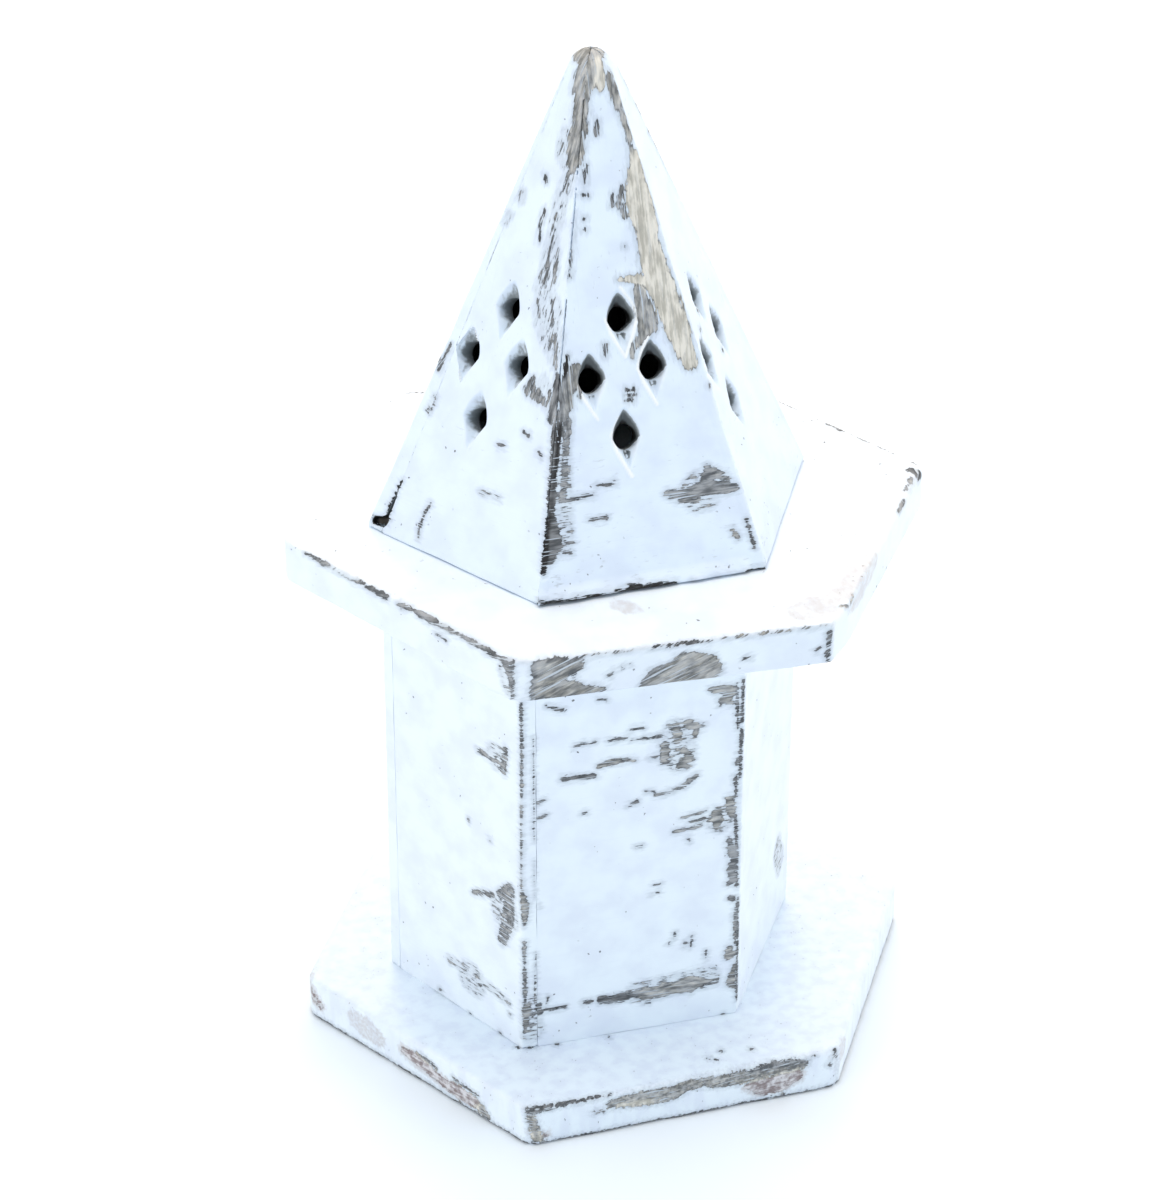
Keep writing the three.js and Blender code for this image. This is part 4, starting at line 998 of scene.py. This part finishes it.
# lengths are in mm, from the middle of a board's foot; a pair is where a change starts and is full
roofLook = {
    "growths": {1: (0.3, 0.2), 6: (0.2, 0.3)}, "elsewhereGrowths": (0.2, 0.2),    # left and right end
    "paintReach": 0.25, "paintRunsIn": {1: 2.4}, "elsewhereRunsIn": 1.1,    # into a vent, and on its sill
    "sillFacing": (0.1, 0.7), "backFacing": (0.5, 0.8),      # cosines
    # the vents' walls darken inwards as painted shade, faster on the front board and slower on the left one
    "ventShade": {1: 2.3, 6: 0.35},                          # how fast a vent's walls darken
    "sootAndShadeLevel": 6.0, "backClean": 2.0, "closedAbove": 70, "tipDepth": 1,
    "lipHeight": 0.22, "lipBulge": (0.03, 0.09), "lipDepth": 0.6, "lipFromFoot": 3, "lipFromTip": 12,
    "lipFromEnds": 1.5, "sharpTip": 1.03, "ridgeEdge": (-0.25, 0.1),
    "footDrop": 0.25, "footDropRise": (3, 0),
    "footOut": 0.9, "footRise": (3.5, 0), "footBack": (-4, -1), "footEnd": (21.5, 19.5),
    "footRaggedness": 0.35, "footWave": (5, 21),
    "cornerOut": 0.8, "cornerRise": (16, 0), "cornerSide": (-19.5, -23.5),
    "grainTurns": (26, 42),      # the grain runs level below and up the board above
    "slot": [(-20.3, 12), (-21, 9.8), (-21.9, 6.6), (-22.6, 3.6), (-21.9, 3.2), (-21.3, 6.2), (-20.7, 9.6)],
    "chip": [(-26.6, 1.9), (-25.5, 2.6), (-23.6, 3.1), (-22.2, 4.1), (-21.4, 3), (-21.9, 1.5), (-23.6, 1),
             (-25.6, 0.9)],
    "cutTop": 3, "cutDepth": 2.2, "cutSides": {5: 1, 6: -1},
    "chipRise": 5, "chipFrom": 20, "chipTop": 0.4,
}
# thick paint along the edges of the front board's vents: the vent's middle, then the ridges from
# there, each place with its half width, all in mm
ventRidges = [
    ((-0.9, 55.3), [[(-3.4, 0.6, 0.25), (-2.6, -2.6, 0.3), (0, -7.6, 0.25)],
                    [(3.4, 0.4, 0.25), (2.2, -3, 0.3), (0, -7.6, 0.25)],
                    [(3.4, 0.4, 0.25), (2.4, 3.4, 0.2), (0.4, 6.6, 0.2)]]),
    ((-8.4, 43.6), [[(-3.4, 0.6, 0.3), (-2.6, -2.6, 0.3), (0.2, -7.8, 0.2)],
                    [(-3.4, 0.6, 0.3), (-2.4, 3, 0.3)]]),
    ((4.9, 44.7), [[(0.4, 8, 0.25), (-2.2, 4, 0.3), (-3.4, 0.4, 0.35), (-2.6, -2.6, 0.3),
                    (-0.2, -7.6, 0.25)]]),
    ((-2.3, 31.2), [[(-1.4, 4.6, 0.2), (-3.4, 1, 0.3), (-2.6, -2.6, 0.3), (0, -8, 0.3)]]),
]


# the slot and the chip that the open joint has at its foot
def cutOpenJoint(piece, matrix):
    fromBoard6 = matrix.inverted() @ faces["roof6"][0]
    for name in ("slot", "chip"):
        cutter = faceCutter(name, roofLook[name], -roofLook["cutDepth"], roofLook["cutTop"])
        cutter.data.transform(fromBoard6)
        joinOrCut(piece, cutter, "DIFFERENCE")


# the ridges as rubs in the board's own frame
def ridgeStrokes():
    found = []
    for (across, up), paths in ventRidges:
        for path in paths:
            for (u0, v0, w0), (u1, v1, w1) in zip(path, path[1:]):
                start = np.array((across + u0, up + v0, 0)) * mm
                end = np.array((across + u1, up + v1, 0)) * mm
                found.append((start, end, w0, w1, 0, -farFromRubs))
    return found


# how thick the paint is at each point, from 0 to 1: it is thick round the vents, and in the ridges
def paintLips(number, mesh, points, normals):
    half, high = faces[f"roof{number}"][1:]
    u, v, w = (points / mm).T
    reach = half * (1 - v / (high * roofLook["sharpTip"])) - roofLook["lipFromEnds"]
    aroundVents = (w > -roofLook["lipDepth"]) & (np.abs(u) < reach)
    aroundVents &= (v > roofLook["lipFromFoot"]) & (v < high - roofLook["lipFromTip"])
    lip = smoothCurve(convexity(mesh, points, normals), *roofLook["lipBulge"]) * aroundVents
    if number == 1:
        lip = np.maximum(lip, smoothCurve(rubField(points, ridgeStrokes())[0], *roofLook["ridgeEdge"]))
    return lip


# the front board's foot stands out unevenly, and its left corner reaches further to the side
def shapeFrontFoot(points, u, v, w):
    foot = smoothCurve(v, *roofLook["footRise"]) * smoothCurve(w, *roofLook["footBack"])
    foot *= smoothCurve(u, *roofLook["footEnd"])
    ragged = 1 + roofLook["footRaggedness"] * wander(points, *roofLook["footWave"])
    points[:, 2] += foot * roofLook["footOut"] * ragged * mm
    corner = smoothCurve(v, *roofLook["cornerRise"]) * smoothCurve(u, *roofLook["cornerSide"])
    points[:, 0] -= corner * roofLook["cornerOut"] * mm


# how far each point lies past the paint, in mm, where bare walls darken inwards as painted shade: soot
# covers the roof's inside, and the chip's bottom is painted black as shade
def pastPaint(number, u, v, depth, normals):
    onSill = smoothCurve(normals[:, 1], *roofLook["sillFacing"])
    onBack = smoothCurve(-normals[:, 2], *roofLook["backFacing"])
    runsIn = roofLook["paintRunsIn"].get(number, roofLook["elsewhereRunsIn"])
    inside = depth - roofLook["paintReach"] - runsIn * onSill
    inside = np.where(inside > 0, inside * roofLook["ventShade"].get(number, 1), inside)
    inside = np.maximum(inside, roofLook["sootAndShadeLevel"] * onBack - roofLook["backClean"])
    solidTip = (v > roofLook["closedAbove"]) & (depth < roofLook["tipDepth"])
    inside = np.where(solidTip, painted, inside)
    side = roofLook["cutSides"].get(number, 0)
    chip = (v < roofLook["chipRise"]) & (u * side > roofLook["chipFrom"]) & (depth > roofLook["chipTop"])
    return np.where(chip, roofLook["sootAndShadeLevel"], inside)


def makeRoofBoard(number, rubs, skin):
    node = f"roof_board_{number}"
    matrix = faces[f"roof{number}"][0]
    piece = woodBlank(f"roof_board_wood_{number}", node, matrix)
    local, tree = skinAround(skin, matrix)
    ends = growEnds(piece, roofLook["growths"].get(number, roofLook["elsewhereGrowths"]), tree)
    if number in roofLook["cutSides"]:
        cutOpenJoint(piece, matrix)
    workSkin(piece, "roof", number)
    bridgeJoints(piece, local, tree, ends, jointLook["openSides"].get(number, 0))
    mesh = piece.data
    points, normals = corners(mesh), pointNormals(mesh)
    depth = depthBelow(points, tree)
    u, v, w = (points / mm).T
    lip = paintLips(number, mesh, points, normals)
    points[:, 2] += lip * roofLook["lipHeight"] * mm
    points[:, 1] -= smoothCurve(v, *roofLook["footDropRise"]) * roofLook["footDrop"] * mm
    if number == 1:
        shapeFrontFoot(points, u, v, w)
    putCorners(mesh, points)
    inside = pastPaint(number, u, v, depth, normals)
    turn = smoothCurve(v, *roofLook["grainTurns"])
    bpy.data.objects.remove(local)
    finishWood(piece, matrix, rubs, {"turn": turn, "inside": inside, "ridge": lip}, "roof", node)


columnLook = {"growths": (0.2, 0.2), "paintReach": 1.0}      # mm


def makeColumnBoard(number, rubs, skin):
    node = f"column_board_{number}"
    matrix = faces[f"column{number}"][0]
    piece = woodBlank(f"column_board_wood_{number}", node, matrix)
    local, tree = skinAround(skin, matrix)
    ends = growEnds(piece, columnLook["growths"], tree)
    workSkin(piece, "column", number)
    bridgeJoints(piece, local, tree, ends)
    points = corners(piece.data)
    none = np.zeros(len(points))
    inside = depthBelow(points, tree) - columnLook["paintReach"]
    bpy.data.objects.remove(local)
    finishWood(piece, matrix, rubs, {"turn": none, "inside": inside, "ridge": none}, "house", node)


plateLook = {
    "fillRadius": 1.7, "fillDepth": 1.4, "fillSides": 24,     # mm, the filler over the pins' heads
    "chamfer": 0.8, "arris": 0.3, "outside": 55,              # mm, the arrises are crisper than the CAD's
    "levelBand": 0.01, "chamferBand": 1.2,                    # mm, to find a flat face and its chamfer
    "drop": {"top_plate": 0.5, "base_plate": 0.0},            # mm
    "grainTurn": {"top_plate": 23, "base_plate": 4},          # degrees
    "grainShortened": {"top_plate": 1.0, "base_plate": 3.0},
}


# the plain chamfers of a plate's CAD solid made narrower, and its underside lower
def sharpenArrises(piece, low, high, drop):
    points = corners(piece.data)
    reach = np.hypot(points[:, 0], points[:, 1])
    outer = reach > plateLook["outside"] * mm
    toCorner = math.cos(math.radians(30))      # a hexagon's flat reach as a share of its corners'
    widening = (plateLook["chamfer"] - plateLook["arris"]) / toCorner * mm
    for level, way in ((high, -1), (low, 1)):
        gap = np.abs(points[:, 2] - level)
        side = outer & (gap > plateLook["levelBand"] * mm) & (gap < plateLook["chamferBand"] * mm)
        flat = outer & (gap <= plateLook["levelBand"] * mm)
        points[side, 2] = level + way * plateLook["arris"] * mm
        points[flat, :2] *= (1 + widening / reach[flat])[:, None]
    points[points[:, 2] < (low + high) / 2, 2] -= drop * mm
    putCorners(piece.data, points)


# a plate with filler over the heads of its pins; its grain lies in layers that run nearly level, and
# their tilt spreads the streaks on its top
def makePlate(name, node, rubs, pins, fillTop):
    piece = woodBlank(name, node, Matrix.Identity(4))
    low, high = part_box(node)
    sharpenArrises(piece, low.z, high.z, plateLook["drop"][node])
    for pin in pins:
        pinLow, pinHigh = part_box(pin)
        centre = (pinLow + pinHigh) / 2
        sunk = plateLook["fillDepth"] / 2 * mm
        level = high.z - sunk if fillTop else low.z + sunk
        bpy.ops.object.select_all(action="DESELECT")
        bpy.ops.mesh.primitive_cylinder_add(
            vertices=plateLook["fillSides"], radius=plateLook["fillRadius"] * mm,
            depth=plateLook["fillDepth"] * mm, location=(centre.x, centre.y, level))
        joinOrCut(piece, bpy.context.active_object, "UNION")
    workSkin(piece, "plate")
    none = np.zeros(len(piece.data.vertices))
    fields = {"turn": none, "inside": none + painted, "ridge": none}
    finishWood(piece, Matrix.Identity(4), rubs, fields, "house", node)
    mesh = piece.data
    turned = Matrix.Rotation(math.radians(plateLook["grainTurn"][node]), 4, "Y")
    tilted = corners(mesh) @ np.array(turned.to_3x3()).T
    tilted[:, :2] *= plateLook["grainShortened"][node]
    mesh.attributes["face"].data.foreach_set("vector", tilted[:, [0, 2, 1]].astype(np.float32).ravel())


print("roof boards")
roofStrokes = rubsInPlace(roofRubs)
roofSkin = tightSkin("roof_skin", [f"roof_board_{number}" for number in sideNumbers])
for number in sideNumbers:
    makeRoofBoard(number, roofStrokes, roofSkin)
bpy.data.objects.remove(roofSkin)
print("column boards")
columnStrokes = rubsInPlace(columnRubs)
columnSkin = tightSkin("column_skin", [f"column_board_{number}" for number in sideNumbers])
for number in sideNumbers:
    makeColumnBoard(number, columnStrokes, columnSkin)
bpy.data.objects.remove(columnSkin)
print("plates")
plateStrokes = rubsInPlace(plateRubs)
platePins = [f"plate_pin_{number}" for number in sideNumbers]
basePins = [f"base_pin_{number}" for number in sideNumbers]
makePlate("top_plate_wood", "top_plate", plateStrokes, platePins, True)
makePlate("base_plate_wood", "base_plate", plateStrokes, basePins, False)


print("fixings")
screws = [f"{leaf}_screw_{side}" for leaf in ("plate", "roof") for side in ("left", "right")]
for node in basePins + platePins:
    dressWith(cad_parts[node], steelFinish)
for node in ["burner_nail", "hinge_pin"] + screws:
    dressWith(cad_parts[node], brassFinish)

leafLook = {"arris": 0.12, "segments": 2, "bevelAngle": 50, "smoothAngle": 30}      # mm, degrees


# a pressed brass piece: its arrises broken, its curves smooth, on the body that carries it
def finishPressing(piece, look, node, body):
    applyModifier(piece, "arris", "BEVEL",
                  {"width": look["arris"] * mm, "segments": look["segments"], "limit_method": "ANGLE",
                   "angle_limit": math.radians(look["bevelAngle"])})
    selectOnly(piece)
    bpy.ops.object.shade_smooth_by_angle(angle=math.radians(look["smoothAngle"]))
    dressWith(piece, brassFinish)
    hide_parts(node)
    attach(piece, body)


for node, body in (("hinge_leaf_plate", "house"), ("hinge_leaf_roof", "roof")):
    finishPressing(woodBlank(f"{node}_pressed", node, Matrix.Identity(4)), leafLook, node, body)

burnerLook = {
    "sides": 96, "rimSlope": 0.3, "rim": 1.2, "rimRise": 0.5, "rimFall": 0.5,    # mm
    "hollow": 0.25, "ring": 9.0, "ringSlope": 0.4, "ringTop": 0.5,
    "facingUp": 0.9,                                                             # cosine
    "arris": 0.12, "segments": 2, "bevelAngle": 20, "smoothAngle": 40,           # mm, degrees
}


# the burner plate: a pressed disc with a raised rim and a ring round the cone's seat
def makeBurner(look):
    low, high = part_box("burner_plate")
    radius = (high.x - low.x) / 2
    bpy.ops.object.select_all(action="DESELECT")
    bpy.ops.mesh.primitive_cylinder_add(vertices=look["sides"], radius=radius, depth=high.z - low.z,
                                        location=(low + high) / 2, end_fill_type="NGON")
    disc = bpy.context.active_object
    disc.name = "burner_plate_pressed"
    bpy.ops.object.transform_apply(location=True, rotation=True, scale=True)
    bpy.ops.object.mode_set(mode="EDIT")
    bpy.ops.mesh.select_all(action="DESELECT")
    bpy.ops.object.mode_set(mode="OBJECT")
    for polygon in disc.data.polygons:
        polygon.select = polygon.normal.z > look["facingUp"]
    bpy.ops.object.mode_set(mode="EDIT")
    flat = radius / mm - look["ring"] - look["rim"] - look["rimSlope"] - look["rimFall"]
    steps = ((look["rimSlope"], look["rimRise"]), (look["rim"], 0),
             (look["rimFall"], -look["rimRise"] - look["hollow"]), (flat, 0),
             (look["ringSlope"], look["hollow"]), (look["ringTop"], 0),
             (look["ringSlope"], -look["hollow"]))
    for inset, rise in steps:
        bpy.ops.mesh.inset(thickness=inset * mm, depth=0)
        bpy.ops.transform.translate(value=(0, 0, rise * mm))
    bpy.ops.object.mode_set(mode="OBJECT")
    finishPressing(disc, look, "burner_plate", "house")


makeBurner(burnerLook)


print("floor, light and camera")
cameraView = {
    "place": (-0.20620, -0.69532, 0.52218), "yaw": 16.16, "pitch": 30.43, "roll": 0.2,
    "sensor": 36.0, "lens": 116.36,
}
stageLook = {
    "floorSize": 6.0, "floor": "#eff5fa", "floorGlow": 0.04, "sweepFrom": 0.45, "sweepTo": 1.1,    # m
    "worldColour": "#e2f1ff", "worldStrength": 0.888,
    "lampColour": "#ffe7cb", "lampAim": (0, 0, 0.1),      # m
}
lamps = {
    "above": {"place": (0.05, 0.15, 1.1), "size": 0.9, "power": 6.2},
    "back": {"place": (0.3, 1.3, 0.7), "size": 0.8, "power": 6.8},
    "left": {"place": (-1.0, -0.4, 0.35), "size": 0.8, "power": 3.2},
    "right": {"place": (1.0, -0.1, 0.3), "size": 0.8, "power": 3.4},
}


# 1 for the rays that should see a plain white surround, else 0
def seenRays(tree):
    path = addNode(tree, "LightPath").outputs
    shiny = addNode(tree, "Math", larger, {0: path["Is Glossy Ray"], 1: path["Is Transmission Ray"]})
    return addNode(tree, "Math", larger, {0: path["Is Camera Ray"], 1: shiny})


# plain matt paper that goes over into white away from the house, and keeps its shadow
def makeFloor():
    bpy.ops.object.select_all(action="DESELECT")
    bpy.ops.mesh.primitive_plane_add(size=stageLook["floorSize"], location=(0, 0, 0))
    floor = bpy.context.active_object
    floor.name = "studio_floor"
    material, tree = newMaterial("matt_white_paper")
    base = addNode(tree, "BsdfDiffuse", {}, {"Color": hexColour(stageLook["floor"])})
    place = addNode(tree, "TexCoord").outputs["Object"]
    distance = addNode(tree, "VectorMath", {"operation": "LENGTH"}, {0: place}).outputs["Value"]
    glowing = addNode(tree, "MapRange", eased, {"Value": distance, "From Min": stageLook["sweepFrom"],
                                                "From Max": stageLook["sweepTo"],
                                                "To Min": stageLook["floorGlow"]})
    strength = addNode(tree, "Math", times, {0: seenRays(tree), 1: glowing})
    glow = addNode(tree, "Emission", {}, {"Strength": strength})
    both = addNode(tree, "AddShader", {}, {0: base, 1: glow})
    addNode(tree, "OutputMaterial", {}, {"Surface": both})
    dressWith(floor, material)


def makeWorld():
    world = bpy.data.worlds.new("studio")
    world.use_nodes = True
    tree = world.node_tree
    tree.nodes.clear()
    light = addNode(tree, "Background", {},
                    {"Color": hexColour(stageLook["worldColour"]), "Strength": stageLook["worldStrength"]})
    white = addNode(tree, "Background", {}, {"Color": (1, 1, 1, 1), "Strength": 1.0})
    mixed = addNode(tree, "MixShader", {}, {0: seenRays(tree), 1: light, 2: white})
    addNode(tree, "OutputWorld", {}, {"Surface": mixed})
    scene.world = world


def makeLamp(name, look):
    data = bpy.data.lights.new(name, "AREA")
    data.size = look["size"]
    data.energy = look["power"]
    data.color = hexColour(stageLook["lampColour"])[:3]
    lamp = bpy.data.objects.new(name, data)
    lamp.location = look["place"]
    aim = Vector(stageLook["lampAim"]) - lamp.location
    lamp.rotation_euler = aim.to_track_quat("-Z", "Y").to_euler()
    scene.collection.objects.link(lamp)


def makeCamera(look):
    yaw, pitch, roll = (math.radians(look[key]) for key in ("yaw", "pitch", "roll"))
    forward = Vector((math.sin(yaw) * math.cos(pitch), math.cos(yaw) * math.cos(pitch), -math.sin(pitch)))
    level = Vector((math.cos(yaw), -math.sin(yaw), 0))
    rise = level.cross(forward)
    right = math.cos(roll) * level + math.sin(roll) * rise
    top = math.cos(roll) * rise - math.sin(roll) * level
    data = bpy.data.cameras.new("photo_view")
    data.sensor_width = look["sensor"]
    data.lens = look["lens"]
    camera = bpy.data.objects.new("photo_view", data)
    turn = Matrix((right, top, -forward)).transposed()
    camera.matrix_world = Matrix.Translation(look["place"]) @ turn.to_4x4()
    scene.collection.objects.link(camera)
    scene.camera = camera


makeFloor()
makeWorld()
for lampName, lampLook in lamps.items():
    makeLamp(lampName, lampLook)
makeCamera(cameraView)
scene.view_settings.view_transform = "Standard"

print("done")
